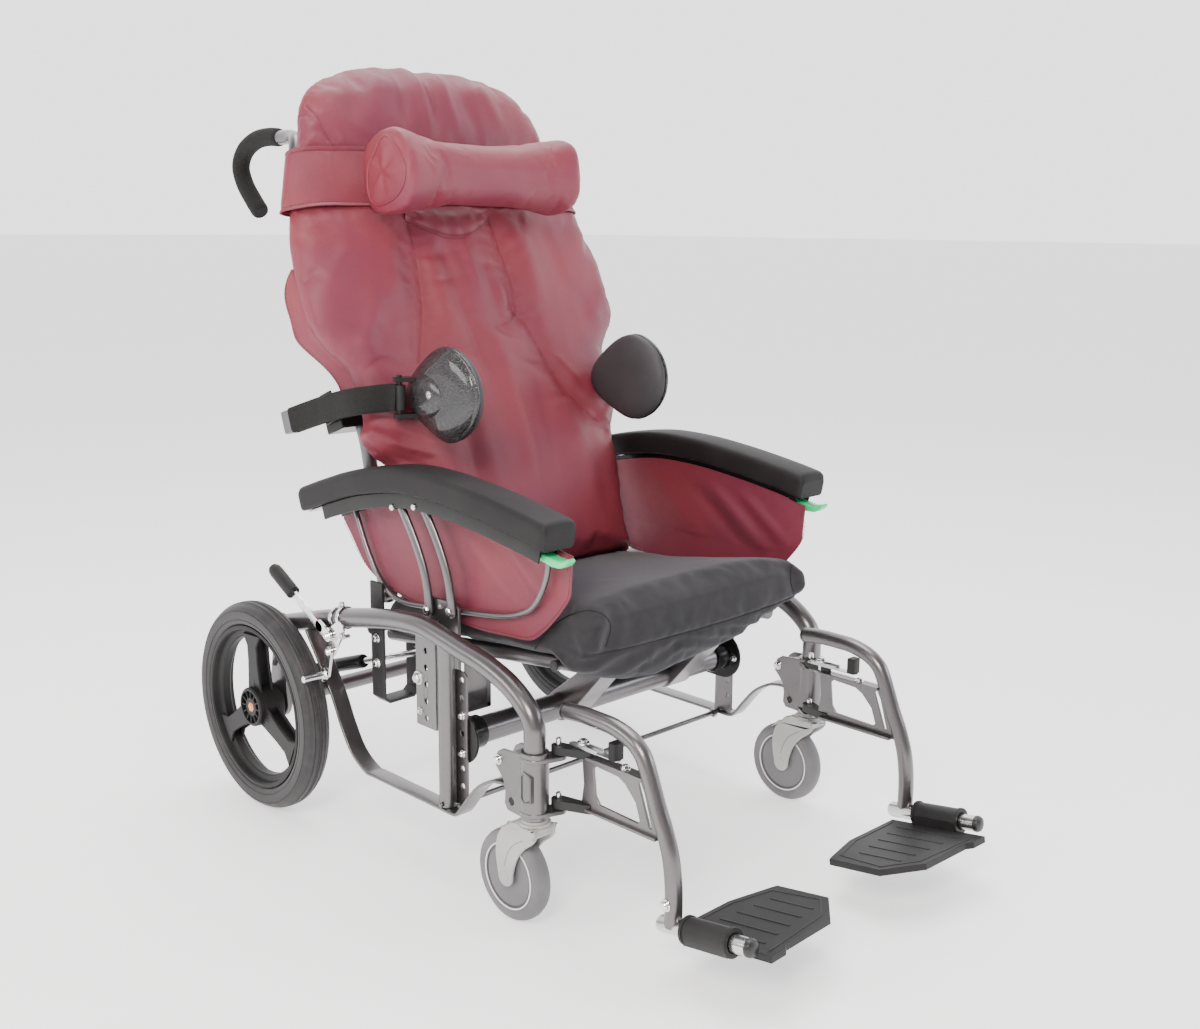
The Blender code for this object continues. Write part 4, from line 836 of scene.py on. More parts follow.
def caster_housings():
    """The heads that carry the caster stems and the leg rests' hinge pins."""
    body = rod(new(), at(FRAME_X, 0, HOUSING_BOTTOM), at(FRAME_X, 0, HOUSING_TOP), 0.0185, 40)
    ear = [
        (-0.004, 0.1565), (0.034, 0.158), (0.0395, 0.166), (0.0385, 0.182), (0.0415, 0.196),
        (0.0500, 0.206), (0.0570, 0.213), (0.0585, 0.223), (0.0530, 0.233), (0.0440, 0.239),
        (-0.004, 0.2425),
    ]
    hole = circle(0.0265, 0.172, 0.0052, 20)
    for low in (FRAME_X - 0.0170, FRAME_X + 0.0128):
        slab(body, ear, upright(low), 0.0042, [hole])
    block = [(0.012, 0.176), (0.034, 0.176), (0.034, 0.236), (0.012, 0.239)]
    slab(body, block, upright(FRAME_X - 0.013), 0.026)
    for low, high in ((0.2320, 0.2380), (0.1590, 0.1650)):
        slab(body, wrapped((FRAME_X, 0, 0.0195), (*HINGE, 0.0100)), level(low), high - low)
    window = [
        (-0.0135, 0.181), (0.0, 0.176), (0.006, 0.181), (0.006, 0.216), (0.0, 0.222),
        (-0.0135, 0.216),
    ]
    inset = [(0.85 * y - 0.001, 0.199 + 0.84 * (z - 0.199)) for y, z in window]
    slab(body, window, upright(FRAME_X + 0.0125), 0.0075, [inset])
    both("caster_head", body, PAINT, "base", ["caster_housing_{}"], bevel=0.0010)

    pins = new()
    for low, high in ((0.2335, 0.2600), (0.1605, 0.1862)):
        rod(pins, at(*HINGE, low), at(*HINGE, high), 0.0040, 20)
        rod(pins, at(*HINGE, high - 0.001), at(*HINGE, high + 0.0012), 0.0040, 20, 0.0020)
    for sign in (-1, 1):
        bolt(pins, at(FRAME_X + sign * 0.0170, 0.0515, 0.2225), sign * ACROSS, 0.0052, 0.005, 20)
    both("head_pins", pins, CHROME, "base", bevel=0.0004)
    plug = crossbar(new(), FRAME_X - 0.0160, FRAME_X + 0.0165, (0.0265, 0.172), 0.0050, 20)
    both("head_plugs", plug, PLASTIC, "base", bevel=0.0006)


CASTER_AXLE = (0.040, 0.0625)


def casters():
    """The swivelling forks with their crowns, and the wheels in them."""
    inner, outer = 0.0135, 0.0188
    leg = [
        (-0.0190, 0.1455), (-0.0200, 0.1340), (-0.0120, 0.1240), (0.0010, 0.1140), (0.0130, 0.1000),
        (0.0200, 0.0860), (0.0245, 0.0700),
        *circle(0.0385, 0.0640, 0.0135, 12, math.radians(190), math.radians(170)), (0.0555, 0.0800),
        (0.0570, 0.1000), (0.0530, 0.1180), (0.0440, 0.1320), (0.0300, 0.1430), (0.0180, 0.1480),
    ]
    leg = [(p.x, p.y) for p in through([Vector((*p, 0)) for p in [*leg, leg[0]]], 3)][:-1]
    fork = new()
    for low in (FRAME_X - outer, FRAME_X + inner):
        slab(fork, leg, upright(low), outer - inner)
    bridge = [
        (-0.0190, 0.1455), (-0.0195, 0.1345), (-0.0080, 0.1300), (0.0150, 0.1292), (0.0420, 0.1285),
        (0.0440, 0.1320), (0.0300, 0.1430), (0.0180, 0.1480),
    ]
    slab(fork, bridge, upright(FRAME_X - outer), 2 * outer)
    both("fork_shell", fork, PALE, "caster_fork_{}", ["caster_fork_{}"], bevel=0.0024, segments=3)

    cap = [
        (0, 0.1400), (0.0190, 0.1400), (0.0214, 0.1420), (0.0214, 0.1445), (0.0198, 0.1452),
        (0.0198, 0.1466), (0.0212, 0.1474), (0.0208, 0.1496), (0.0172, 0.1506), (0.0168, 0.1533),
        (0, 0.1533),
    ]
    crown = lathe(new(), cap, at(FRAME_X, 0, 0), UPWARD, 40)
    both("fork_crown", crown, PALE, "caster_fork_{}")
    stem = rod(new(), at(FRAME_X, 0, 0.150), at(FRAME_X, 0, 0.232), 0.006, 20)
    both("fork_stem", stem, ZINC, "caster_fork_{}")

    groove = [
        (0.0385, 0.0800), (0.0345, 0.0930), (0.0280, 0.1060), (0.0170, 0.1170), (0.0030, 0.1260),
    ]
    # Thin dark lines along the legs paint the shade in their grooves.
    lines = new()
    for x in (FRAME_X - outer, FRAME_X + outer):
        pipe(lines, flat_line(x, groove, 5), 0.0006, 8, ACROSS)
    both("fork_groove_shadows", lines, GROOVE_SHADE, "caster_fork_{}")
    buttons = new()
    for sign in (-1, 1):
        start = at(FRAME_X + sign * (outer - 0.001), 0.0390, 0.0640)
        rod(buttons, start, start + sign * 0.0016 * ACROSS, 0.0082, 28, 0.0075)
    both("fork_buttons", buttons, PALE, "caster_fork_{}")

    centre = at(FRAME_X, *CASTER_AXLE)
    half = [
        (0.0440, -0.0105), (0.0500, -0.0126), (0.0560, -0.0124), (0.0600, -0.0095),
        (0.0621, -0.0045), (0.0625, 0),
    ]
    tread = lathe(new(), mirrored(half), centre, ACROSS, 72, closed=True)
    both("caster_tread", tread, CASTER_TYRE, "caster_wheel_{}", ["caster_wheel_{}"], sharp=40)
    ring = new()
    for sign in (-1, 1):
        lathe(ring, circle(0.0447, sign * 0.0118, 0.0011, 10), centre, ACROSS, 72, closed=True)
    both("caster_ring", ring, RING, "caster_wheel_{}")
    half = [
        (0.0046, -0.0116), (0.0120, -0.0116), (0.0125, -0.0102), (0.0400, -0.0108),
        (0.0422, -0.0090), (0.0440, -0.0090),
    ]
    disc = lathe(new(), mirrored(half, False), centre, ACROSS, 64, closed=True)
    both("caster_disc", disc, CASTER_DISC, "caster_wheel_{}")
    axle = crossbar(new(), FRAME_X - outer, FRAME_X + outer, CASTER_AXLE, 0.004, 16)
    both("caster_axle", axle, ZINC, "caster_fork_{}")


def spoke_ray(degrees):
    """A direction out from a wheel's middle."""
    angle = math.radians(degrees)
    return Vector((0, math.cos(angle), math.sin(angle)))


def rear_wheels():
    """Solid tyres, and moulded rims with three hollow-backed spokes."""
    centre = at(WHEEL_X, *AXLE)
    half = [
        (0.1285, -0.0165), (0.1310, -0.0195), (0.1360, -0.0210), (0.1365, -0.0203),
        (0.1380, -0.0203), (0.1385, -0.0213), (0.1440, -0.0222), (0.1500, -0.0218),
        (0.1503, -0.0209), (0.1516, -0.0207), (0.1520, -0.0212), (0.1560, -0.0185),
        (0.1590, -0.0145), (0.1592, -0.0135), (0.1602, -0.0122), (0.1616, -0.0100),
        (0.1608, -0.0092), (0.1608, -0.0082), (0.1624, -0.0072), (0.1628, -0.0030),
        (0.1616, -0.0022), (0.1616, -0.0012), (0.1630, 0.0),
    ]
    tyre = lathe(new(), mirrored(half), centre, ACROSS, 96, closed=True)
    both("tyre", tyre, TYRE, "rear_wheel_{}", ["rear_tyre_{}"], sharp=28)

    rim = [
        (0.1278, -0.0188), (0.1278, 0.0188), (0.1235, 0.0196), (0.1215, 0.0180), (0.1195, 0.0100),
        (0.1120, 0.0085), (0.1100, 0.0060), (0.1100, -0.0060), (0.1120, -0.0085), (0.1195, -0.0100),
        (0.1215, -0.0180), (0.1235, -0.0196),
    ]
    wheel = lathe(new(), rim, centre, ACROSS, 84, closed=True)
    hub = [
        (0.0068, -0.0222), (0.0285, -0.0222), (0.0305, -0.0200), (0.0320, 0.0), (0.0305, 0.0205),
        (0.0285, 0.0228), (0.0255, 0.0228), (0.0250, 0.0150), (0.0150, 0.0150), (0.0145, 0.0212),
        (0.0068, 0.0212),
    ]
    lathe(wheel, hub, centre, ACROSS, 60, closed=True)
    for i in range(12):
        ray = spoke_ray(30 * i)
        rib = [centre + r * ray + 0.0180 * ACROSS for r in (0.0140, 0.0262)]
        sweep(wheel, rounded(0.0080, 0.0022, 0.0004, 1), rib, ACROSS)
    web_sizes = [(1.0, 1.3), (0.86, 1.0), (0.72, 0.85), (0.62, 0.9), (0.62, 1.5)]
    wall_sizes = [(1.0, 1.20), (1.0, 1.02), (1.0, 0.86), (1.0, 0.84), (1.0, 1.6)]
    for i in range(3):
        ray = spoke_ray(87 + 120 * i)
        line = [centre + r * ray for r in (0.024, 0.045, 0.070, 0.095, 0.113)]
        sweep(wheel, rounded(0.030, 0.009, 0.002, 2), line, ACROSS, web_sizes)
        for shift in (-0.0080, 0.0110):
            wall = [point + shift * ACROSS for point in line]
            sweep(wheel, rounded(0.0045, 0.031, 0.0012, 1), wall, ACROSS, wall_sizes)
    both("rim_and_spokes", wheel, PLASTIC, "rear_wheel_{}", ["rear_rim_{}"], bevel=0.0007, sharp=35)

    cap = rod(new(), centre + 0.0100 * ACROSS, centre + 0.0215 * ACROSS, 0.0078, 6)
    rod(cap, centre + 0.0210 * ACROSS, centre + 0.0226 * ACROSS, 0.0045, 16)
    both("wheel_bolt", cap, COPPER, "rear_wheel_{}", bevel=0.0006)
    ray = spoke_ray(118)
    valve = rod(new(), centre + 0.112 * ray, centre + 0.090 * ray, 0.0035, 16)
    rod(valve, centre + 0.0905 * ray, centre + 0.084 * ray, 0.0042, 16)
    both("valve", valve, PLASTIC, "rear_wheel_{}", bevel=0.0004)


def cross_tube_brackets():
    """The cast discs that carry the seat's cross tube."""
    x, radius = 0.2702, 0.038
    rim = circle(*TILT, radius, 28, math.radians(90), math.radians(180))
    outline = [*rim, (0.200, TILT[1] - radius), (0.200, TILT[1] + radius)]
    disc = slab(new(), outline, upright(x), 0.0037)
    profile = [
        (0.0198, -0.0300), (0.0222, -0.0300), (0.0230, -0.0285), (0.0230, -0.0010),
        (0.0260, 0.0005), (0, 0.0005), (0, -0.0190), (0.0198, -0.0190),
    ]
    lathe(disc, profile, at(x, *TILT), ACROSS, 48, closed=True)
    both("tube_bracket", disc, BLACK_GLOSS, "base", ["cross_tube_bracket_{}"], bevel=0.0008)
    bolts = new()
    for y, z in ((0.186, 0.240), (0.186, 0.186), (0.142, 0.213)):
        bolt(bolts, at(x, y, z), -ACROSS, 0.0048, 0.0045, 6)
    for z in (0.240, 0.186):
        bolt(bolts, at(0.2775, 0.158, z + 0.0063), ACROSS, 0.0045, 0.004, 20)
    both("bracket_bolts", bolts, CHROME, "base", bevel=0.0004)


# Leg rests

HANGER_X = 0.2475
FOOT_X = 0.246
FOOT_SLOPE = math.radians(9.0)
FOOT_ROOT = (-0.189, 0.065)


def foot_point(distance, lift=0.0):
    """(y, z) along the sloping foot tube, with a lift square to it."""
    y = FOOT_ROOT[0] - distance * math.cos(FOOT_SLOPE) + lift * math.sin(FOOT_SLOPE)
    return y, FOOT_ROOT[1] + distance * math.sin(FOOT_SLOPE) + lift * math.cos(FOOT_SLOPE)


def leg_rests():
    """The bent hangers with their webs, hinges, foot tubes and latches."""
    x = HANGER_X
    path = [
        (-0.016, 0.292), (-0.046, 0.295), (-0.074, 0.295), (-0.101, 0.294), (-0.127, 0.288),
        (-0.145, 0.278), (-0.158, 0.261), (-0.178, 0.213), (-0.190, 0.187), (-0.200, 0.159),
        (-0.205, 0.132), (-0.207, 0.104), foot_point(0.018),
    ]
    arm = pipe(new(), flat_line(x, path), 0.011, 32, ACROSS)
    window = [
        (-0.068, 0.229), (-0.072, 0.194), (-0.080, 0.184), (-0.146, 0.182), (-0.150, 0.186),
        (-0.142, 0.208), (-0.124, 0.226), (-0.112, 0.232), (-0.073, 0.234),
    ]
    slot = [
        (-0.1500, 0.2370), (-0.1465, 0.2330), (-0.1660, 0.1820), (-0.1700, 0.1820),
        (-0.1570, 0.2250),
    ]
    outline = [
        (-0.052, 0.2442), (-0.048, 0.235), (-0.051, 0.205), (-0.047, 0.178), (-0.050, 0.1702),
        (-0.188, 0.1702), (-0.180, 0.200), (-0.164, 0.2380), (-0.158, 0.2442),
    ]
    slab(arm, outline, upright(x - 0.0020), 0.0040, [window, slot])
    for low, ends in ((0.2400, (-0.052, -0.156)), (0.1702, (-0.054, -0.180))):
        slab(arm, oblong(x - 0.0110, x + 0.0070, *ends), level(low), 0.0040)
    both("hanger_tube", arm, PAINT, "leg_rest_{}", ["hanger_{}"], bevel=0.0008)

    straps = new()
    for low, high in ((0.2402, 0.2508), (0.1672, 0.1788)):
        ring = wrapped((*HINGE, 0.0098), (x, -0.060, 0.0055))
        slab(straps, ring, level(low), high - low, [circle(*HINGE, 0.0046, 20)])
    both("hinge_straps", straps, BLACK_SATIN, "leg_rest_{}", bevel=0.0010)
    end, next_to_it = at(x, *path[0]), at(x, *path[1])
    profile = [(0, -0.002), (0.0112, -0.002), (0.0114, 0.0005), (0.0100, 0.0026), (0, 0.0030)]
    plug = lathe(new(), profile, end, end - next_to_it, 32)
    both("hanger_plug", plug, DARK_GREY, "leg_rest_{}")

    root = at(FOOT_X, *foot_point(0.0))
    foot = rod(new(), root, at(FOOT_X, *foot_point(0.138)), 0.011, 32)
    rod(foot, root, at(FOOT_X, *foot_point(-0.004)), 0.011, 32, 0.0095)
    both("foot_tube", foot, STEEL_TUBE, "leg_rest_{}", bevel=0.0005)
    direction = at(0, *foot_point(1.0)) - at(0, *foot_point(0.0))
    profile = [
        (0, 0.0), (0.0114, 0.0), (0.0114, 0.0035), (0.0100, 0.0062), (0.0060, 0.0080), (0, 0.0086),
    ]
    cap = lathe(new(), profile, at(FOOT_X, *foot_point(0.1365)), direction, 32)
    both("foot_tube_cap", cap, DARK_GREY, "leg_rest_{}")
    clip = new()
    bolt(clip, at(x + 0.0105, -0.2035, 0.098), ACROSS, 0.0060, 0.005, 20)
    rod(clip, at(x, -0.048, 0.2440), at(x, -0.048, 0.2620), 0.0040, 20)
    bolt(clip, at(x, -0.048, 0.2580), UPWARD, 0.0062, 0.004)
    bolt(clip, at(x - 0.003, -0.120, 0.2440), UPWARD, 0.0050, 0.004)
    both("hanger_bolts", clip, CHROME, "leg_rest_{}", bevel=0.0004)

    bar = new()
    low = 0.2515
    outline = wrapped((x, -0.030, 0.0058), (x, -0.108, 0.0058))
    slab(bar, outline, level(low), 0.0016, [circle(x, -0.048, 0.0046, 20)])
    for shift in (-0.0064, 0.0048):
        slab(bar, oblong(x + shift, x + shift + 0.0016, -0.034, -0.078), level(low), 0.0052)
    both("latch_bar", bar, ZINC, "leg_rest_latch_{}", ["hanger_latch_{}"], bevel=0.0005)
    stem = [at(x, -0.106, low + 0.0012), at(x, -0.106, low + 0.024)]
    knob = sweep(new(), rounded(0.0175, 0.0130, 0.0030), stem, ACROSS)
    both("latch_knob", knob, PLASTIC, "leg_rest_latch_{}", bevel=0.0012, segments=3)


def footplates():
    """The ribbed boards with the sleeves that turn on the foot tubes."""
    slope = Matrix.Rotation(-FOOT_SLOPE, 4, "X")
    place = Matrix.Translation(at(0, *FOOT_ROOT)) @ slope @ Matrix.Diagonal((1, -1, 1, 1))
    top = -0.015 + 0.0045
    outline = [
        (0.2330, 0.006), (0.2330, 0.157), (0.205, 0.156), (0.196, 0.149), (0.105, 0.1455),
        (0.055, 0.106), (0.056, 0.024), (0.068, 0.0205), (0.130, 0.0045),
    ]
    board = slab(new(), outline, place @ Matrix.Translation((0, 0, top - 0.009)), 0.009)
    sleeve = [
        (0.2285, 0.0035), (0.2285, -0.0195), (0.2330, -0.0215), (0.2350, -0.0150),
        (0.2580, -0.0150), (0.2620, -0.0060),
        *circle(FOOT_X, 0, 0.0168, 18, math.radians(-10), math.radians(180)),
    ]
    collar = circle(FOOT_X, 0, 0.0182, 32)
    hole = circle(FOOT_X, 0, 0.0121, 28)
    on_end = Matrix(((1, 0, 0), (0, 0, 1), (0, 1, 0))).to_4x4()
    rings = ((sleeve, 0.042, 0.112), (collar, 0.0405, 0.0450), (collar, 0.1085, 0.1135))
    for ring, low, high in rings:
        slab(board, ring, place @ Matrix.Translation((0, low, 0)) @ on_end, high - low, [hole])
    both("footboard", board, PLASTIC, "footplate_{}", ["footplate_{}"], bevel=0.0016, segments=3)

    ribs = new()
    for i in range(5):
        x = 0.208 - 0.028 * i
        start, end = 0.030 + 0.004 * i, 0.128 - 0.004 * i
        points = [place @ Vector((x, d, top + 0.0001)) for d in (start, (start + end) / 2, end)]
        sweep(ribs, rounded(0.0036, 0.0012, 0.0005, 2), points, ACROSS)
    border = [
        (0.222, 0.014), (0.132, 0.013), (0.074, 0.030), (0.066, 0.101), (0.108, 0.134),
        (0.222, 0.146),
    ]
    points = [place @ Vector((*p, top + 0.0001)) for p in border]
    sweep(ribs, rounded(0.0026, 0.0010, 0.0004, 2), points, ACROSS)
    both("footboard_ribs", ribs, PLASTIC, "footplate_{}")


# Brakes


BRAKE_PIVOT = (0.430, 0.305)
SHOE_PIVOT = (0.428, 0.281)
SHOE_Z = 0.245
SHOE_RADIUS = 0.005
SHOE_CLEARANCE = 0.006


def brakes():
    """The clamps on the side tubes with their levers, and the shoes that press on the tyres."""
    band = new()
    line = frame_line()
    spot = min(range(len(line)), key=lambda i: abs(line[i].y + STEM_SETBACK - 0.4245))
    along = (line[spot + 1] - line[spot - 1]).normalized()
    middle = line[spot]
    for shift in (-0.0095, 0.0095):
        ring = oblong(FRAME_R + 0.0002, FRAME_R + 0.0026, -0.0035, 0.0035)
        lathe(band, ring, middle + shift * along, along, 40, closed=True)
    cheek = wrapped((0.406, 0.320, 0.011), (*BRAKE_PIVOT, 0.010), (*SHOE_PIVOT, 0.009))
    slab(band, cheek, upright(0.3022), 0.0036)
    for pivot in (BRAKE_PIVOT, SHOE_PIVOT):
        crossbar(band, 0.303, 0.3120, pivot, 0.0030, 16)
        bolt(band, at(0.3114, *pivot), ACROSS, 0.0050, 0.004, washer=False)
    both("brake_clamp", band, CHROME, "base", ["brake_bracket_{}"], bevel=0.0005)
    tabs = new()
    bolt(tabs, at(FRAME_X, 0.4245, 0.3465), UPWARD, 0.0042, 0.006)
    crossbar(tabs, 0.280, 0.310, (0.418, 0.302), 0.0030, 12)
    bolt(tabs, at(0.306, 0.396, 0.312), ACROSS, 0.0042, 0.004, 20)
    both("brake_tabs", tabs, ZINC, "base", bevel=0.0004)

    x, thickness = 0.3066, 0.0046
    outline = wrapped((*BRAKE_PIVOT, 0.0088), (0.452, 0.317, 0.0075))
    lever = slab(new(), outline, upright(x), thickness, [circle(*BRAKE_PIVOT, 0.0036, 16)])
    slab(lever, wrapped((0.448, 0.314, 0.0068), (0.540, 0.363, 0.0055)), upright(x), thickness)
    both("brake_bar", lever, CHROME, "brake_lever_{}", ["brake_lever_{}"], bevel=0.0007)
    start, end = at(x + 0.0023, 0.519, 0.3520), at(x + 0.0023, 0.576, 0.3822)
    direction = end - start
    profile = [
        (0, 0), (0.0092, 0), (0.0104, 0.0012), (0.0106, 0.0500), (0.0098, 0.0580), (0.0072, 0.0630),
        (0, 0.0652),
    ]
    grip = lathe(new(), profile, start, direction, 32)
    both("brake_grip", grip, PLASTIC, "brake_lever_{}")

    reach = WHEEL_RADIUS + SHOE_RADIUS + SHOE_CLEARANCE
    shoe_spot = (WHEEL_Y - math.sqrt(reach**2 - (SHOE_Z - WHEEL_Z) ** 2), SHOE_Z)
    outline = wrapped((*SHOE_PIVOT, 0.0078), (*shoe_spot, 0.0068))
    shoe = slab(new(), outline, upright(x), thickness, [circle(*SHOE_PIVOT, 0.0036, 16)])
    crossbar(shoe, x + 0.002, 0.349, shoe_spot, SHOE_RADIUS, 20)
    bolt(shoe, at(0.3135, *shoe_spot), ACROSS, 0.0072, 0.005)
    both("brake_shoe_rod", shoe, CHROME, "brake_shoe_{}", ["brake_shoe_{}"], bevel=0.0005)


# Seat frame

REAR_MEMBER = (0.431, 0.300)
RECLINE = (0.430, 0.350)
FRONT_PIVOT = (0.201, 0.381)
REAR_PIVOT = (0.251, 0.373)
SEAT_RAIL_X = 0.190
SEAT_RAIL_DROP = 0.0113
FRONT_MEMBER_Y = 0.045
HOOP_Y = 0.385


def seat_under(y):
    """Height of the cushion's underside."""
    return 0.3456 - 0.114 * y


def seat_over(y):
    """Height of the cushion's top before it is stuffed."""
    return 0.412 - 0.1657 * y


def under_the_rail(y, more=0.0):
    """(y, z) of the seat rails' middle line, or of something below it."""
    return y, seat_under(y) - (SEAT_RAIL_DROP + more)


def seat_tubes():
    """The seat's rails and cross members, its side carriers and the hoops behind them."""
    tubes = new()
    for _, sign in SIDES:
        x = sign * SEAT_RAIL_X
        rod(tubes, at(x, *under_the_rail(0.010)), at(x, *under_the_rail(0.435)), 0.011, 28)
        link = wrapped((*REAR_MEMBER, 0.010), (*RECLINE, 0.012))
        slab(tubes, link, upright(0.2162 if sign > 0 else -0.2208), 0.0046)
        crossbar(tubes, x, sign * 0.2205, RECLINE, 0.005, 20)
    crossbar(tubes, -0.234, 0.234, REAR_MEMBER, 0.0075)
    front_member = under_the_rail(FRONT_MEMBER_Y)
    crossbar(tubes, -0.214, 0.214, front_member, 0.0075)
    crossbar(tubes, -SEAT_RAIL_X, SEAT_RAIL_X, under_the_rail(0.232), 0.0075)
    crossbar(tubes, -0.251, 0.251, TILT, 0.019, 40)
    for x in (-0.070, 0.150):
        outline = wrapped((*TILT, 0.0225), (*front_member, 0.0085))
        slab(tubes, outline, upright(x - 0.0215), 0.043)
    crossbar(tubes, -0.2284, -SEAT_RAIL_X, SPRING_TOP, 0.004, 20)
    piece("seat_tubes", tubes, PAINT, "seat", ["seat_frame"], bevel=0.0010)

    corners = [
        (0.203, 0.2257), (0.262, 0.2257), (0.262, 0.385), (0.256, 0.390), (0.200, 0.390),
        (0.193, 0.384),
    ]
    windows = [circle(0.228, 0.262, 0.010, 20), circle(0.228, 0.322, 0.012, 20)]
    sides = slab(new(), [*corners, (0.193, 0.260)], upright(0.2493), 0.0048, windows)
    slab(sides, oblong(0.187, 0.2530, 0.206, 0.258), level(0.2255), 0.008)
    slab(sides, oblong(0.206, 0.258, 0.2262, 0.296), upright(0.186), 0.008)
    stiffener = [at(SEAT_RAIL_X, *under_the_rail(y, 0.0143)) for y in (0.250, 0.378)]
    rod(sides, *stiffener, 0.003, 16)
    for pivot in (FRONT_PIVOT, REAR_PIVOT):
        crossbar(sides, 0.2503, 0.2626, pivot, 0.004, 16)
    both("seat_side", sides, PAINT, "seat", ["seat_carrier_{}"], bevel=0.0008)
    bends = [
        (0.1895, 0.288), (0.1895, 0.212), (0.1985, 0.2030), (0.2427, 0.2025), (0.2517, 0.2100),
        (0.2517, 0.385),
    ]
    path = [at(x, HOOP_Y, z) for x, z in bends]
    hoop = sweep(new(), rounded(0.030, 0.0044, 0.0010), path, REARWARD)
    both("seat_hoop", hoop, BLACK_SATIN, "seat", bevel=0.0006)

    ends = new()
    for _, sign in SIDES:
        for spot, half in ((REAR_MEMBER, 0.234), (front_member, 0.214)):
            profile = [
                (0, -0.002), (0.0078, -0.002), (0.0078, -0.0004), (0.0062, 0.0005), (0, 0.0007),
            ]
            lathe(ends, profile, at(sign * half, *spot), sign * ACROSS, 24)
    piece("seat_tube_ends", ends, DARK_GREY, "seat", bevel=0.0004)
    bolts = new()
    for _, sign in SIDES:
        for z in (0.262, 0.300):
            bolt(bolts, at(sign * 0.2540, HOOP_Y, z), sign * ACROSS, 0.0052, 0.005)
        for pivot in (FRONT_PIVOT, REAR_PIVOT):
            bolt(bolts, at(sign * 0.2636, *pivot), sign * ACROSS, 0.0058, 0.0040, 6, washer=False)
        bolt(bolts, at(sign * 0.2204, *RECLINE), sign * ACROSS, 0.0075, 0.005)
    piece("seat_bolts", bolts, CHROME, "seat", bevel=0.0005)


def gas_spring():
    """The tilt spring's cylinder and rod, each with the eye that it hangs on."""
    base, seat = at(SPRING_X, *SPRING_FOOT), at(SPRING_X, *SPRING_TOP)
    along = (seat - base).normalized()
    eye = lathe(new(), oblong(0.0047, 0.0090, -0.009, 0.009), base, ACROSS, 32, closed=True)
    profile = [
        (0, 0.007), (0.0070, 0.007), (0.0075, 0.014), (0.0110, 0.018), (0.0110, 0.120),
        (0.0100, 0.1232), (0.0056, 0.1232), (0.0056, 0.070), (0, 0.070),
    ]
    lathe(eye, profile, base, along, 36)
    piece("spring_cylinder", eye, BLACK_GLOSS, "gas_cylinder", ["gas_cylinder"], bevel=0.0005)
    rod_shape = rod(new(), base + 0.092 * along, seat - 0.008 * along, 0.005, 24)
    rod(rod_shape, seat - 0.022 * along, seat - 0.007 * along, 0.0072, 6)
    lathe(rod_shape, oblong(0.0053, 0.0100, -0.009, 0.009), seat, ACROSS, 32, closed=True)
    piece("spring_rod", rod_shape, CHROME, "gas_rod", ["gas_rod"], bevel=0.0005)


# Arms

ARM_UNDERSIDE = (
    (0.530, 0.472), (0.460, 0.496), (0.388, 0.517), (0.293, 0.533),
    (0.206, 0.533), (0.118, 0.524), (0.035, 0.511), (-0.010, 0.502),
)
PANEL_X = 0.2383
CHANNEL_X = 0.2573
LINK_X = 0.25915
WIRE_X = 0.2445


def lengths(path):
    """How far along a path each of its points lies."""
    found = [0.0]
    for a, b in zip(path, path[1:]):
        found.append(found[-1] + (b - a).length)
    return found


def along(path, share):
    """The point at a share of a path's length."""
    marks = lengths(path)
    goal = share * marks[-1]
    for i in range(1, len(path)):
        if marks[i] >= goal - 1e-9:
            return path[i - 1].lerp(
                path[i], (goal - marks[i - 1]) / max(1e-9, marks[i] - marks[i - 1])
            )
    return path[-1]


def arm_pads():
    """The moulded rests, rounded off at both ends, each on its channel's rear plate."""
    line = flat_line(0.256, ARM_UNDERSIDE, 12)
    marks = lengths(line)
    section = [
        (-0.0250, 0.0003), (0.0250, 0.0003), (0.0286, 0.0035), (0.0290, 0.0080),
        *circle(0.0190, 0.0262, 0.0100, 6, 0, math.radians(76)), (0.0110, 0.0368), (0.0, 0.0373),
        (-0.0110, 0.0368), *circle(-0.0190, 0.0262, 0.0100, 6, math.radians(104), math.radians(76)),
        (-0.0290, 0.0080), (-0.0286, 0.0035),
    ]
    sizes = []
    for mark in marks:
        front = math.sqrt(1 - (1 - min(1.0, (marks[-1] - mark) / 0.012)) ** 2)
        rear = smooth(-0.008, 0.008, mark)
        sizes.append((0.88 + 0.12 * min(front, rear), min(0.74 + 0.26 * front, 0.80 + 0.20 * rear)))
    rest = sweep(new(), section, line, ACROSS, sizes)
    for pad in both("arm_cushion", rest, PAD, "arm_{}", ["arm_pad_{}"], bevel=0.0022, segments=3):
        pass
    line = flat_line(CHANNEL_X, [(0.526, 0.4712), (0.490, 0.4838), (0.462, 0.4930)], 4)
    plate = sweep(new(), rounded(0.030, 0.0024, 0.0006), line, ACROSS)
    both("arm_rear_plate", plate, ZINC, "arm_{}", bevel=0.0004)


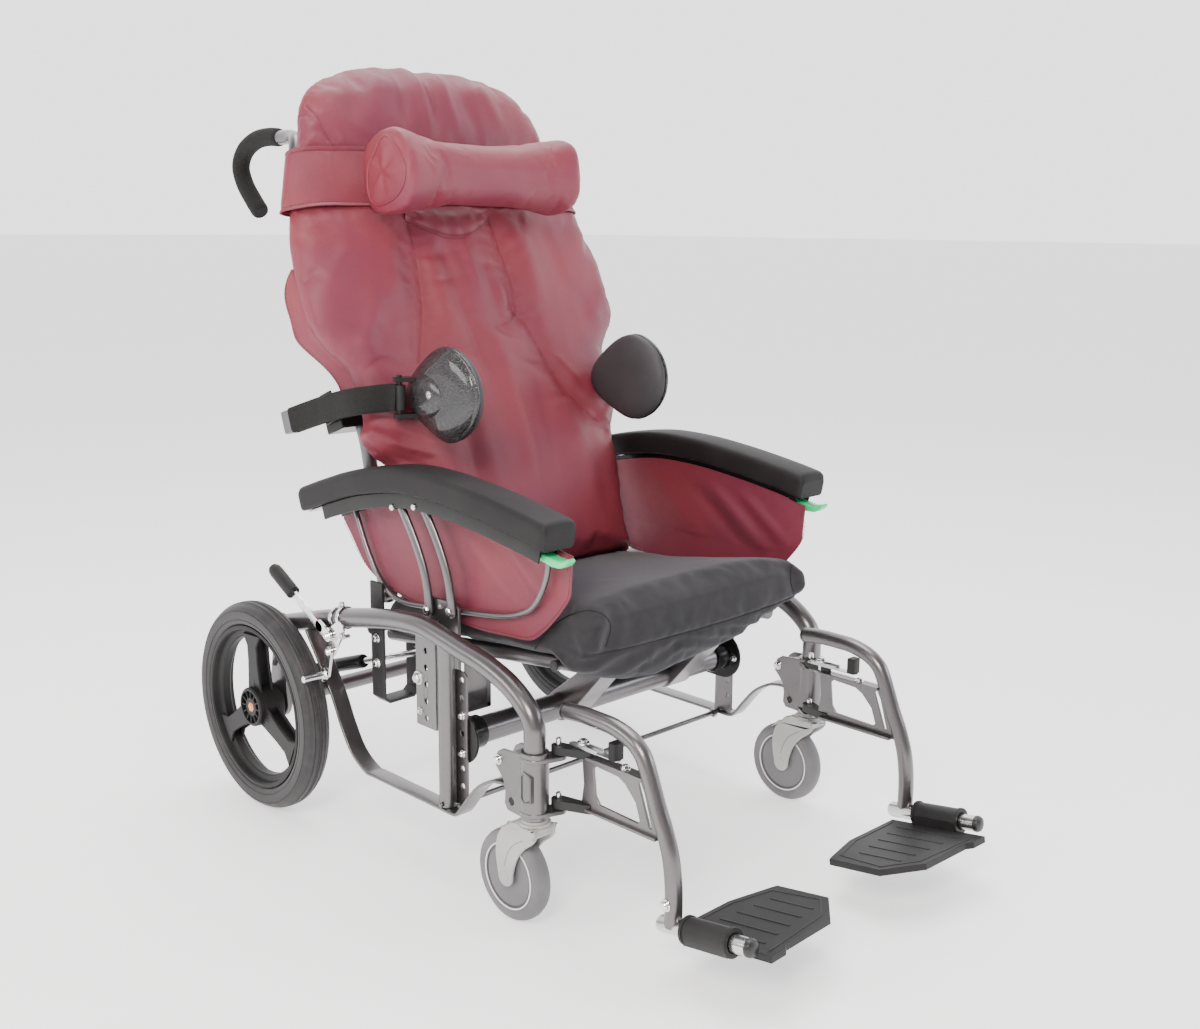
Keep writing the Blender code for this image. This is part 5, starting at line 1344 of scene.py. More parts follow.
def arm_rails():
    """The channels under the pads, the guard wires, the parallel links and the release levers."""
    under = [
        (0.490, 0.4851), (0.460, 0.4954), (0.388, 0.5164), (0.293, 0.5324), (0.206, 0.5324),
        (0.118, 0.5234), (0.035, 0.5104), (0.004, 0.5042),
    ]
    folded = [
        (-0.0165, 0), (-0.0165, -0.0190), (-0.0158, -0.0208), (-0.0142, -0.0208),
        (-0.0138, -0.0190), (-0.0138, -0.0030), (0.0138, -0.0030), (0.0138, -0.0190),
        (0.0142, -0.0208), (0.0158, -0.0208), (0.0165, -0.0190), (0.0165, 0),
    ]
    rail = sweep(new(), folded, flat_line(CHANNEL_X, under, 10), ACROSS)
    rise = (0.061, 0.137)
    pins = [(foot[0] + rise[0], foot[1] + rise[1]) for foot in (FRONT_PIVOT, REAR_PIVOT)]
    for pin in pins:
        crossbar(rail, 0.2418, 0.2728, pin, 0.003, 16)
    crossbar(rail, 0.2418, 0.2728, (0.013, 0.492), 0.002, 12)
    both("arm_rail", rail, BLACK_GLOSS, "arm_{}", ["arm_frame_{}"], bevel=0.0006, sharp=40)
    wire = [
        (0.448, 0.490), (0.431, 0.455), (0.414, 0.424), (0.392, 0.394), (0.362, 0.372),
        (0.327, 0.365), (0.267, 0.370), (0.198, 0.378), (0.126, 0.387), (0.086, 0.396),
        (0.053, 0.412), (0.034, 0.437), (0.023, 0.465), (0.020, 0.500),
    ]
    both("guard_wire", pipe(new(), flat_line(WIRE_X, wire), 0.0039, 20, ACROSS), PAINT, "arm_{}")
    heads = new()
    for pin in pins:
        bolt(heads, at(0.2738, *pin), ACROSS, 0.0046, 0.0030, 20, washer=False)
    both("arm_rail_pins", heads, CHROME, "arm_{}", bevel=0.0004)

    oval = [(0.62 * u, v) for u, v in circle(0, 0, 0.0074, 28)]
    bends = (
        (0, -0.004), (0, 0), (0.004, 0.030), (0.014, 0.062), (0.035, 0.100), rise, (0.0635, 0.1405),
    )
    for name, foot in (("front", FRONT_PIVOT), ("rear", REAR_PIVOT)):
        line = flat_line(LINK_X, [(foot[0] + y, foot[1] + z) for y, z in bends], 8)
        link = sweep(new(), oval, line, ACROSS)
        body, node = f"arm_{name}_link_{{}}", f"arm_link_{name}_{{}}"
        both(f"arm_{name}_tube", link, PAINT, body, [node], bevel=0.0012)

    lever = [
        (0.018, 0.4918), (0.006, 0.4900), (-0.008, 0.4870), (-0.020, 0.4866), (-0.029, 0.4895),
        (-0.0345, 0.4935),
    ]
    sizes = [(1, 1), (1, 1.1), (1, 1.15), (1, 1.0), (0.94, 0.75), (0.80, 0.40)]
    line = [at(CHANNEL_X, *p) for p in lever]
    blade = sweep(new(), rounded(0.0178, 0.0105, 0.0030, 3), line, ACROSS, sizes)
    both("green_lever", blade, GREEN, "arm_lever_{}", ["arm_lever_{}"], bevel=0.0008)


# Slack folds of a side guard, as (y, z) ends, width and height
GUARD_FOLDS = (
    ((0.175, 0.505), (0.045, 0.405), 0.012, 0.0042),
    ((0.215, 0.500), (0.075, 0.395), 0.014, -0.0030),
    ((0.110, 0.500), (0.010, 0.425), 0.010, 0.0030),
    ((0.300, 0.505), (0.170, 0.400), 0.018, 0.0020),
    ((0.420, 0.480), (0.360, 0.395), 0.012, 0.0020),
)


def arm_panels():
    """The side guards: vinyl stretched on the wire, with a hem and slack folds in front."""
    low = [
        (-0.014, 0.474), (-0.0125, 0.455), (-0.010, 0.436), (0.008, 0.412), (0.030, 0.389),
        (0.054, 0.370), (0.072, 0.3635), (0.110, 0.3605), (0.166, 0.357), (0.250, 0.360),
        (0.330, 0.367), (0.400, 0.383), (0.438, 0.405), (0.469, 0.441), (0.488, 0.462),
    ]
    top = [
        (-0.016, 0.4925), (0.004, 0.4955), (0.035, 0.5035), (0.118, 0.5165), (0.206, 0.5255),
        (0.293, 0.5255), (0.388, 0.5095), (0.460, 0.4885), (0.484, 0.4800),
    ]
    low, top = flat_line(PANEL_X, low, 10), flat_line(PANEL_X, top, 10)
    panel = new()
    bmesh.ops.create_grid(panel, x_segments=110, y_segments=40, size=0.5)
    for vert in panel.verts:
        u, v = vert.co.x + 0.5, vert.co.y + 0.5
        point = along(low, u).lerp(along(top, u), v)
        y, z = point.y + STEM_SETBACK, point.z
        slack = smooth(0.0, 0.2, v) * smooth(1.0, 0.75, v)
        slack = slack * smooth(0.0, 0.1, u) * smooth(1.0, 0.85, u)
        folds = sum(
            (height * ridge((y, z), start, end, width) for start, end, width, height in GUARD_FOLDS)
        )
        folds += 0.0012 * noise.noise((14 * y, 14 * z, 3.1))
        vert.co = point - ACROSS * (0.0012 + slack * (0.0010 + folds) * (1 if z > 0.415 else 0.5))
    size = area(panel)
    wide = (along(low, 1) - along(low, 0)).length
    thickened(panel, 0.0016)
    # The guards take the darker copy of the vinyl as painted shade.
    panels = both("side_guard", panel, VINYL_SHADED, "arm_{}", ["arm_panel_{}"])
    hems = new()
    shares = [0.012 + 0.976 * i / 90 for i in range(91)]
    inset = [along(low, share).lerp(along(top, share), 0.03) for share in shares]
    edge = [along(low, 0).lerp(along(top, 0), t / 12) + Vector((0, 0.005, 0)) for t in range(13)]
    for path in (inset, edge):
        for side in (0.0014, -0.0030):
            stitches(hems, [p + side * ACROSS for p in path])
    both("guard_stitches", hems, THREAD, "arm_{}")


def ridge(spot, start, end, width):
    """How far a fold along a line lifts a spot, from 0 to 1. It dies away towards its ends."""
    spot, start, end = Vector(spot), Vector(start), Vector(end)
    run = end - start
    share = (spot - start).dot(run) / run.length_squared
    if not -0.15 < share < 1.15:
        return 0.0
    aside = (spot - start - share * run).length
    height = math.exp(-((aside / width) ** 2)) * smooth(-0.15, 0.25, share)
    return height * smooth(1.15, 0.65, share)


def stitches(shape, path, length=0.0042, gap=0.0016, radius=0.00045):
    """Short lengths of thread along a path."""
    total = lengths(path)[-1]
    count = max(1, int(total / (length + gap)))
    for i in range(count):
        start = along(path, i / count)
        end = along(path, (i + length / (length + gap)) / count)
        if (end - start).length > 1e-5:
            rod(shape, start, end, radius, 6)


# Back

BACK_ANGLE = math.radians(21.3)
BACK_BASE = (0.330, 0.420)
BACK_HEIGHT = 0.774
CANE_X = 0.203
BAR_S, UPPER_BAR_S = 0.20, 0.45
BAR_N, UPPER_BAR_N = -0.062, -0.072
PAD_HINGE = (0.222, 0.361)
PAD_MIDDLE_Y, PAD_MIDDLE_Z = 0.305, 0.662
FORWARD = Vector((0, -math.cos(BACK_ANGLE), math.sin(BACK_ANGLE)))
UP_THE_BACK = Vector((0, math.sin(BACK_ANGLE), math.cos(BACK_ANGLE)))


def back_point(x, s, n=0.0):
    """A point of the leaning back: s up along it from the seat, n forward out of it."""
    return at(x, *BACK_BASE) + s * UP_THE_BACK + n * FORWARD


def on_the_back(point):
    """(x, s, n) of a point."""
    offset = point - at(0, *BACK_BASE)
    return point.x, offset.dot(UP_THE_BACK), offset.dot(FORWARD)


def back_half_width(s):
    """Narrow between the arms, widest at the shoulders, drawn in to a broad arch."""
    width = 0.204 + 0.018 * smooth(-0.03, 0.12, s) + 0.030 * smooth(0.14, 0.21, s)
    width += 0.046 * smooth(0.275, 0.36, s) - 0.072 * smooth(0.42, 0.70, s)
    arch = max(0.0, (s - 0.655) / (BACK_HEIGHT - 0.655))
    return width * math.sqrt(max(0.0, 1 - arch**2.6))


def near_side_extra(s):
    """How much fuller the cover is on the sitter's right, also where it gathers."""
    shoulder = 0.010 * smooth(0.27, 0.40, s) + 0.006 * smooth(0.42, 0.52, s) * smooth(0.70, 0.60, s)
    return shoulder + 0.024 * smooth(0.135, 0.160, s) * smooth(0.212, 0.190, s)


def cane_line():
    """The left cane's middle line, from below its hinge to the push handle."""
    line = [
        at(CANE_X, 0.430, 0.338), at(CANE_X, *RECLINE), at(0.205, 0.446, 0.430),
        back_point(0.212, BAR_S, BAR_N), back_point(0.222, 0.33, UPPER_BAR_N),
        back_point(0.228, UPPER_BAR_S, UPPER_BAR_N), back_point(0.226, 0.55, -0.060),
        at(0.222, 0.610, 0.975), at(0.210, 0.625, 1.012), at(0.196, 0.655, 1.024),
        at(0.190, 0.700, 1.026),
    ]
    return [line[0], *through(line[1:], 8)]


def leaning_block(shape, centre, size):
    """A block that leans with the back."""
    turn = Matrix.Rotation(-BACK_ANGLE, 4, "X")
    place = Matrix.Translation(centre) @ turn @ Matrix.Diagonal((*size, 1))
    bmesh.ops.create_cube(shape, size=1, matrix=place)
    return shape


def back_tubes():
    """The canes and their cross bars, the lateral clamps and the push handles."""
    frame_tubes = new()
    for _, sign in SIDES:
        pipe(frame_tubes, [Vector((sign * p.x, p.y, p.z)) for p in cane_line()], 0.011, 28)
        knuckle = oblong(0.0058, 0.0130, -0.0120, 0.0120)
        lathe(frame_tubes, knuckle, at(sign * CANE_X, *RECLINE), ACROSS, 32, closed=True)
    for s, n in ((BAR_S, BAR_N), (UPPER_BAR_S, UPPER_BAR_N)):
        rod(frame_tubes, back_point(-0.218, s, n), back_point(0.218, s, n), 0.0075, 24)
        for x in (-0.10, 0.10):
            leaning_block(
                frame_tubes, back_point(x, s, (n - 0.034) / 2), (0.048, -0.034 - n, 0.029)
            )
    crossbar(frame_tubes, -0.205, 0.205, (0.630, 1.010), 0.0075)
    piece("back_tubes", frame_tubes, PAINT, "back", ["back_frame"], bevel=0.0012)

    clamps = leaning_block(new(), back_point(0.2315, 0.241, -0.064), (0.0565, 0.0435, 0.050))
    leaning_block(clamps, back_point(0.2610, 0.252, -0.064), (0.004, 0.030, 0.046))
    both("support_clamp", clamps, BLACK_GLOSS, "back", bevel=0.0030, segments=3)
    screws = new()
    for s in (0.240, 0.262):
        bolt(screws, back_point(0.243, s, -0.043), FORWARD, 0.0045, 0.005, 20)
    for s in (0.236, 0.258):
        bolt(screws, back_point(0.243, s, -0.0855), -FORWARD, 0.0050, 0.006)
    both("clamp_screws", screws, CHROME, "back", bevel=0.0004)

    hook = [
        (0.700, 1.026), (0.735, 1.028), (0.772, 1.024), (0.806, 1.009), (0.822, 0.985),
        (0.812, 0.958), (0.789, 0.933), (0.7655, 0.9115),
    ]
    line = flat_line(0.190, hook, 10)
    marks = lengths(line)
    ends = [min(mark, marks[-1] - mark) for mark in marks]
    sizes = [(0.80 + 0.20 * smooth(-0.002, 0.006, end),) * 2 for end in ends]
    handle = sweep(new(), circle(0, 0, 0.0140, 32), line, ACROSS, sizes)
    both("push_handle", handle, FOAM, "back", ["push_grip_{}"], bevel=0.0012)


def inward_of_hinge(inward, middle, y, z):
    """Places an outline inward of a support's hinge, scaled by y and z about its middle."""
    place = upright(PAD_HINGE[0] - inward) @ Matrix.Translation((*middle, 0))
    return place @ Matrix.Diagonal((y, z, 1, 1))


def pad_levels(levels, pinch, count=80):
    """A lofted pad, round in front and pinched towards the hinge. A level is (inward, size)."""
    outline = []
    for i in range(count):
        angle = 2 * math.pi * i / count
        rear = math.cos(angle)
        height = 0.0700 * math.sin(angle) * (1 - pinch * smooth(-0.35, 1.0, rear))
        outline.append((0.082 * rear, height - 0.006 * smooth(0.2, 1.0, rear)))
    middle = (PAD_MIDDLE_Y, PAD_MIDDLE_Z)
    return loft(new(), outline, [inward_of_hinge(inward, middle, g, g) for inward, g in levels])


def supports():
    """The side supports: a foam-sleeved bar, a hinge and a hard-backed pad."""
    clamp = back_point(0.2703, 0.25, -0.064)
    bar_path = [
        at(0.2765, 0.563, 0.604), clamp + Vector((0, 0.032, -0.009)),
        clamp + Vector((0, -0.032, 0.009)), at(0.2683, 0.396, 0.650), at(0.2345, 0.3705, 0.655),
        at(0.2262, 0.3605, 0.655),
    ]
    line = through(bar_path, 6)
    away = (line[0] - line[1]).normalized()
    start = line[0] - 0.010 * away
    covered = [start, *(p for p in line if (p - start).dot(away) < -0.004)]
    sleeve = sweep(new(), rounded(0.0190, 0.0390, 0.0060, 4), covered, ACROSS)
    both("support_sleeve", sleeve, FOAM, "back", ["lateral_arm_{}"], bevel=0.0014)
    stub = [start - 0.004 * away, line[0] + 0.008 * away]
    cap = sweep(new(), rounded(0.0165, 0.0345, 0.0030, 3), stub, ACROSS)
    both("support_bar_end", cap, BAR_END, "back", bevel=0.0008)
    hinge = rod(new(), at(*PAD_HINGE, 0.6225), at(*PAD_HINGE, 0.6875), 0.0039, 20)
    rod(hinge, at(*PAD_HINGE, 0.6370), at(*PAD_HINGE, 0.6730), 0.0088, 28)
    both("support_hinge", hinge, BLACK_SATIN, "back", bevel=0.0010)

    dome = [
        (0.0545, 0.06), (0.0543, 0.30), (0.0532, 0.55), (0.0510, 0.74), (0.0480, 0.87),
        (0.0440, 0.955), (0.0400, 0.985), (0.0370, 0.980), (0.0352, 0.955),
    ]
    pad_form = pad_levels(dome, 0.30)
    for pad in both("support_pad", pad_form, DOME, "lateral_pad_{}", ["lateral_pad_{}"], sharp=50):
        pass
    shell = [
        (0.0360, 0.965), (0.0354, 0.990), (0.0335, 1.0), (0.0318, 0.998), (0.0306, 0.985),
        (0.0300, 0.965), (0.0298, 0.945), (0.0284, 0.932), (0.0262, 0.900), (0.0234, 0.830),
        (0.0212, 0.740), (0.0197, 0.630), (0.0186, 0.500), (0.0179, 0.350), (0.0175, 0.200),
        (0.0174, 0.050),
    ]
    both("support_shell", pad_levels(shell, 0.34), HAMMERED, "lateral_pad_{}", sharp=50)
    boss = [
        (0.0250, 0.048, 0.034), (0.0190, 0.044, 0.031), (0.0150, 0.037, 0.0255),
        (0.0128, 0.026, 0.0175), (0.0120, 0.010, 0.006),
    ]
    middle = (PAD_MIDDLE_Y + 0.022, 0.658)
    spots = [inward_of_hinge(inward, middle, y, z) for inward, y, z in boss]
    boss_form = loft(new(), circle(0, 0, 1.0, 48), spots)
    both("support_boss", boss_form, HAMMERED, "lateral_pad_{}", sharp=50)
    ears = new()
    root = (PAD_HINGE[0] - 0.024, PAD_HINGE[1] - 0.009, 0.0100)
    ear, hole = wrapped((*PAD_HINGE, 0.0088), root), circle(*PAD_HINGE, 0.0046, 20)
    for low in (0.6255, 0.6775):
        slab(ears, ear, level(low), 0.0065, [hole])
    both("support_ears", ears, BLACK_GLOSS, "lateral_pad_{}", bevel=0.0010)
    x, spot = PAD_HINGE[0], (PAD_MIDDLE_Y + 0.004, PAD_MIDDLE_Z)
    screw = crossbar(new(), x - 0.0150, x - 0.0106, spot, 0.0060, 28)
    crossbar(screw, x - 0.0110, x - 0.0092, spot, 0.0046, 24, 0.0036)
    both("support_screw", screw, CHROME, "lateral_pad_{}", bevel=0.0005)


# Soft goods


CLOTH_FRAMES = 20
STITCH_RADIUS = 0.0004


def settled(shape, kind, **settings):
    """The shape as one modifier leaves it."""
    draft = stand("draft", mesh_of("draft", shape))
    shape.free()
    change = draft.modifiers.new("change", kind)
    for name, given in settings.items():
        setattr(change, name, given)
    made = new()
    made.from_object(draft, bpy.context.evaluated_depsgraph_get())
    bpy.data.objects.remove(draft, do_unlink=True)
    return made


def stuffed(shape, voxel, cap, firm, pressure=4.0, slack=0.0):
    """Fills a cover by cloth simulation. firm(point) goes to 1 where seams hold it fast."""
    shape = settled(tidy(shape), "REMESH", mode="VOXEL", voxel_size=voxel)
    mesh = mesh_of("cover", shape)
    cover = stand("cover", mesh)
    held = cover.vertex_groups.new(name="held")
    for vert in mesh.vertices:
        held.add([vert.index], firm(vert.co), "REPLACE")
    cloth = cover.modifiers.new("cloth", "CLOTH")
    cloth.settings.use_pressure = True
    cloth.settings.uniform_pressure_force = pressure
    cloth.settings.effector_weights.gravity = 0
    cloth.settings.vertex_group_mass = "held"
    cloth.settings.shrink_min = -slack
    cloth.settings.bending_stiffness = 0.8
    cloth.point_cache.frame_start, cloth.point_cache.frame_end = 1, CLOTH_FRAMES
    for number in range(1, CLOTH_FRAMES + 1):
        bpy.context.scene.frame_set(number)
    filled = cover.evaluated_get(bpy.context.evaluated_depsgraph_get()).data
    moves = [after.co - before.co for before, after in zip(mesh.vertices, filled.vertices)]
    bpy.context.scene.frame_set(1)
    bpy.data.objects.remove(cover, do_unlink=True)
    for vert, move in zip(shape.verts, moves):
        if move.length > 1e-9:
            vert.co += move * (cap * math.tanh(move.length / cap) / move.length)
    return settled(shape, "SUBSURF", levels=1)


def raised(shape, relief):
    """Moves each vertex along its normal by what relief(place, normal) says."""
    shape.normal_update()
    moves = [(vert, relief(vert.co, vert.normal) * vert.normal) for vert in shape.verts]
    for vert, move in moves:
        vert.co += move
    return shape


def laid(tree, spots, ahead, lift=0.0):
    """Drops points onto a cover along a direction."""
    found = []
    for spot in spots:
        hit = tree.ray_cast(spot - 0.2 * ahead, ahead)[0]
        if hit:
            found.append(hit - lift * ahead)
    return found


# Folds of the back's cover, as (x, s) ends, width and height
CROWN_FOLDS = (
    ((-0.062, 0.765), (-0.078, 0.640), 0.011, -0.0055),
    ((-0.040, 0.768), (-0.034, 0.640), 0.011, 0.0050),
    ((-0.014, 0.768), (-0.010, 0.640), 0.009, -0.0050),
    ((0.008, 0.765), (0.024, 0.640), 0.013, 0.0045),
    ((0.045, 0.760), (0.070, 0.640), 0.015, -0.0045),
    ((0.085, 0.750), (0.125, 0.650), 0.014, 0.0030),
    ((-0.100, 0.760), (-0.130, 0.650), 0.016, 0.0035),
    ((-0.150, 0.735), (-0.165, 0.650), 0.014, -0.0030),
)
PANEL_FOLDS = (
    ((-0.062, 0.470), (-0.055, 0.400), 0.010, -0.0050),
    ((-0.055, 0.405), (-0.034, 0.250), 0.014, -0.0055),
    ((-0.020, 0.470), (-0.012, 0.380), 0.010, 0.0040),
    ((-0.090, 0.460), (-0.086, 0.330), 0.014, 0.0040),
    ((0.010, 0.460), (0.012, 0.330), 0.012, -0.0035),
    ((0.030, 0.400), (0.040, 0.330), 0.012, 0.0040),
    ((-0.005, 0.330), (0.010, 0.080), 0.020, 0.0055),
    ((-0.075, 0.300), (-0.070, 0.060), 0.018, 0.0040),
    ((-0.105, 0.240), (-0.100, 0.060), 0.014, -0.0045),
    ((0.060, 0.300), (0.070, 0.060), 0.018, -0.0040),
    ((0.110, 0.190), (0.120, 0.020), 0.020, 0.0040),
    ((-0.150, 0.480), (-0.170, 0.380), 0.018, 0.0045),
    ((-0.200, 0.500), (-0.230, 0.420), 0.020, -0.0030),
    ((0.095, 0.490), (0.110, 0.360), 0.020, 0.0045),
    ((0.150, 0.500), (0.170, 0.380), 0.020, -0.0030),
    ((-0.160, 0.300), (-0.260, 0.360), 0.014, -0.0035),
    ((-0.250, 0.300), (-0.190, 0.400), 0.016, 0.0050),
    ((-0.285, 0.400), (-0.215, 0.470), 0.018, 0.0040),
    ((-0.290, 0.560), (-0.230, 0.430), 0.020, -0.0035),
    ((0.100, 0.290), (0.150, 0.230), 0.012, 0.0040),
    ((0.215, 0.330), (0.275, 0.400), 0.016, 0.0035),
)
GATHERS = (
    ((-0.245, 0.215), (-0.160, 0.190), 0.0060, 0.0042),
    ((-0.243, 0.198), (-0.150, 0.166), 0.0055, -0.0038),
    ((-0.240, 0.180), (-0.160, 0.144), 0.0060, 0.0046),
    ((-0.236, 0.160), (-0.165, 0.120), 0.0060, -0.0036),
    ((-0.230, 0.143), (-0.172, 0.100), 0.0060, 0.0036),
    ((0.230, 0.200), (0.170, 0.160), 0.0070, 0.0030),
    ((0.226, 0.175), (0.165, 0.130), 0.0070, -0.0030),
)
NEAR_SEAM = (
    (-0.108, 0.505), (-0.110, 0.470), (-0.114, 0.430), (-0.122, 0.375), (-0.138, 0.325),
    (-0.152, 0.285),
)
FAR_SEAM = ((0.047, 0.512), (0.051, 0.465), (0.058, 0.410), (0.060, 0.355))
FAR_DART = ((0.060, 0.355), (0.040, 0.342), (0.020, 0.335))
FAR_FLARE = ((0.060, 0.355), (0.086, 0.292), (0.116, 0.232), (0.158, 0.184), (0.182, 0.165))
HEAD_DART = ((-0.226, 0.690), (-0.219, 0.667), (-0.209, 0.638), (-0.196, 0.608))
SEAMS = (
    (NEAR_SEAM, 0.0030),
    (FAR_SEAM, 0.0032),
    (FAR_DART, 0.0026),
    (FAR_FLARE, 0.0030),
    (HEAD_DART, 0.0016),
)
BAND_MIDDLE = 0.575
BAND_LOW, BAND_HIGH = 0.5345, 0.6155
COVER_DEPTH = 0.026
BOXY = 0.55
FLAP_MIDDLE = -0.032
FLAP_HALF = 0.080


def seam_line(points):
    """A smooth line through points of (x, s) on the back."""
    return [p.xy for p in through([Vector((*p, 0)) for p in points], 6)]


def seam_depth(spot, line, width):
    """1 on a seam, and falling away across it."""
    nearest = 1.0
    for a, b in zip(line, line[1:]):
        share = geometry.intersect_point_line(spot, a, b)[1]
        nearest = min(nearest, (Vector(spot) - a.lerp(b, min(1.0, max(0.0, share)))).length)
    return math.exp(-((nearest / width) ** 2))


def hem_of_flap(x):
    """Height along the back of the neck flap's curved hem."""
    return 0.472 + 0.036 * min(1.2, abs((x - FLAP_MIDDLE) / FLAP_HALF)) ** 2


def back_cover():
    """The back's stuffed cover, with its seams pulled in and its folds and gathers raised."""
    cover = new()
    around, count = 96, 64
    turns = [math.pi * (i + 0.5) / count for i in range(count)]
    levels = [-0.051 + 0.818 * (1 - math.cos(turn)) / 2 for turn in turns]
    rows = []
    for s in levels:
        width = back_half_width(s) - 0.003
        end = min(smooth(-0.085, -0.025, s), smooth(BACK_HEIGHT + 0.008, BACK_HEIGHT - 0.06, s))
        depth = 0.007 + 0.019 * end
        row = []
        for i in range(around):
            angle = 2 * math.pi * i / around
            x = width * squared(math.cos(angle), BOXY)
            fuller = near_side_extra(s) * smooth(0.0, -0.2, x)
            x -= fuller + 0.009 * bell(s, 0.50, 0.07) * smooth(0.0, 0.2, x)
            n = depth * squared(math.sin(angle), BOXY)
            n += 0.010 * end * bell(x, 0, 0.12) if n > 0 else 0
            row.append(cover.verts.new(back_point(x, s, n)))
        rows.append(row)
    closed_ends(cover, rows)
    seams = [(seam_line(line), depth) for line, depth in SEAMS]

    def firm(point):
        x, s, n = on_the_back(point)
        rear = smooth(-0.005, -0.020, n)
        bound = bell(s, BAND_MIDDLE, 0.045)
        sewn = max(seam_depth((x, s), line, 0.012) for line, _ in seams[:4])
        return max(rear, bound, 0.8 * sewn)

    cover = stuffed(cover, 0.0075, 0.009, firm, slack=0.015)
    folds = (*CROWN_FOLDS, *PANEL_FOLDS, *GATHERS)

    def relief(point, normal):
        x, s, n = on_the_back(point)
        if n < -0.004:
            return 0.0
        facing = smooth(0.1, 0.6, normal.dot(FORWARD))
        wander = 0.006 * noise.noise((9 * x, 7 * s, 4.0))
        lift = 0.0
        for start, end, width, height in folds:
            if near(x, s, start, end):
                lift += height * ridge((x + wander, s), start, end, width)
        for line, depth in seams:
            wide = seam_depth((x, s), line, 0.020)
            lift -= depth * seam_depth((x, s), line, 0.0024) + 0.0026 * wide
            lift += 0.0010 * wide * noise.noise((70 * x, 110 * s, 2.0))
        wave = 0.0030 * noise.noise((8 * x, 6 * s, 1.7))
        lift += wave + 0.0009 * noise.noise((34 * x, 22 * s, 5.2))
        lift -= 0.0034 * smooth(0.522, 0.536, s) * smooth(0.632, 0.616, s)
        return lift * facing

    cover = raised(cover, relief)
    tree = bvhtree.BVHTree.FromBMesh(cover)
    soft = piece("back_cushion_cover", cover, VINYL, "back", ["back_cushion"], sharp=180)

    thread = new()
    for line, _ in seams:
        spots = [back_point(x + 0.0032, s, 0) for x, s in line]
        stitches(thread, laid(tree, spots, -FORWARD, 0.0002), radius=0.00038)
    piece("back_stitches", thread, THREAD, "back")
    return tree


def neck_flap(tree):
    """A half-moon of cloth under the head roll, puckered by its curved hem, in a darker copy of the
    vinyl that paints the roll's shade.
    """
    flap = new()
    bmesh.ops.create_grid(flap, x_segments=64, y_segments=22, size=1.0)
    for vert in flap.verts:
        u, v = vert.co.x, (vert.co.y + 1) / 2
        x = FLAP_MIDDLE + FLAP_HALF * u
        s = hem_of_flap(x) * (1 - v) + 0.526 * v
        spot = laid(tree, [back_point(x, s, 0)], -FORWARD)[0]
        pucker = 0.0016 * math.sin(17 * u + 1.5 * v) * smooth(1.0, 0.4, v) * smooth(0.0, 0.3, v)
        hem = 0.0007 * smooth(0.10, 0.04, v)
        sag = 0.0030 * smooth(0.0, 0.35, v) * smooth(1.0, 0.6, v)
        ripple = 0.0010 * noise.noise((30 * x, 30 * s, 0))
        vert.co = spot + (0.0014 + pucker + hem + sag + ripple) * FORWARD
    size = area(flap)
    thickened(flap, 0.0014)
    # The flap takes the darker copy of the vinyl as painted shade under the roll.
    cloth = piece("neck_flap", flap, VINYL_SHADED, "back", sharp=60)
    thread = new()
    hem = []
    for i in range(41):
        x = FLAP_MIDDLE + FLAP_HALF * (i / 20 - 1) * 0.97
        hem.append(laid(tree, [back_point(x, hem_of_flap(x) + 0.0042, 0)], -FORWARD, 0.0034)[0])
    stitches(thread, hem, radius=STITCH_RADIUS)
    piece("flap_stitches", thread, THREAD, "back")


def back_wings():
    """Flaps of the cover turned back along the widest part of each side, with a stitched edge."""
    for side, sign in SIDES:
        wing = new()
        bmesh.ops.create_grid(wing, x_segments=40, y_segments=8, size=1.0)
        for vert in wing.verts:
            vert.co = wing_point(vert.co.x, (vert.co.y + 1) / 2, sign)
        size = area(wing)
        thickened(wing, 0.0018)
        flap = piece(f"back_wing_{side}", wing, VINYL, "back", bevel=0.0003, sharp=60)
        shares = [1.9 * i / 30 - 0.95 for i in range(31)]
        rim = [wing_point(share, 0.86, sign) + sign * 0.0008 * ACROSS for share in shares]
        thread = new()
        stitches(thread, rim, radius=STITCH_RADIUS)
        piece(f"wing_stitches_{side}", thread, THREAD, "back")


def wing_point(u, v, sign):
    """A spot of a side flap: u along the back's edge from -1 to 1, v from the edge rearwards."""
    s = 0.340 + 0.106 * u
    extra = near_side_extra(s) if sign < 0 else 0.0
    reach = 0.034 * v * (1 - abs(u) ** 7)
    x = back_half_width(s) + extra - 0.012 + 0.008 * smooth(0.0, 0.9, v)
    x += 0.002 * noise.noise((30 * s, 4 * v, sign))
    return back_point(sign * x, s, -0.012 - reach)


def near(x, s, start, end, reach=0.05):
    """Whether a spot can feel a fold at all, which saves working the fold out everywhere."""
    low_x, high_x = min(start[0], end[0]) - reach, max(start[0], end[0]) + reach
    low_s, high_s = min(start[1], end[1]) - reach, max(start[1], end[1]) + reach
    return low_x < x < high_x and low_s < s < high_s


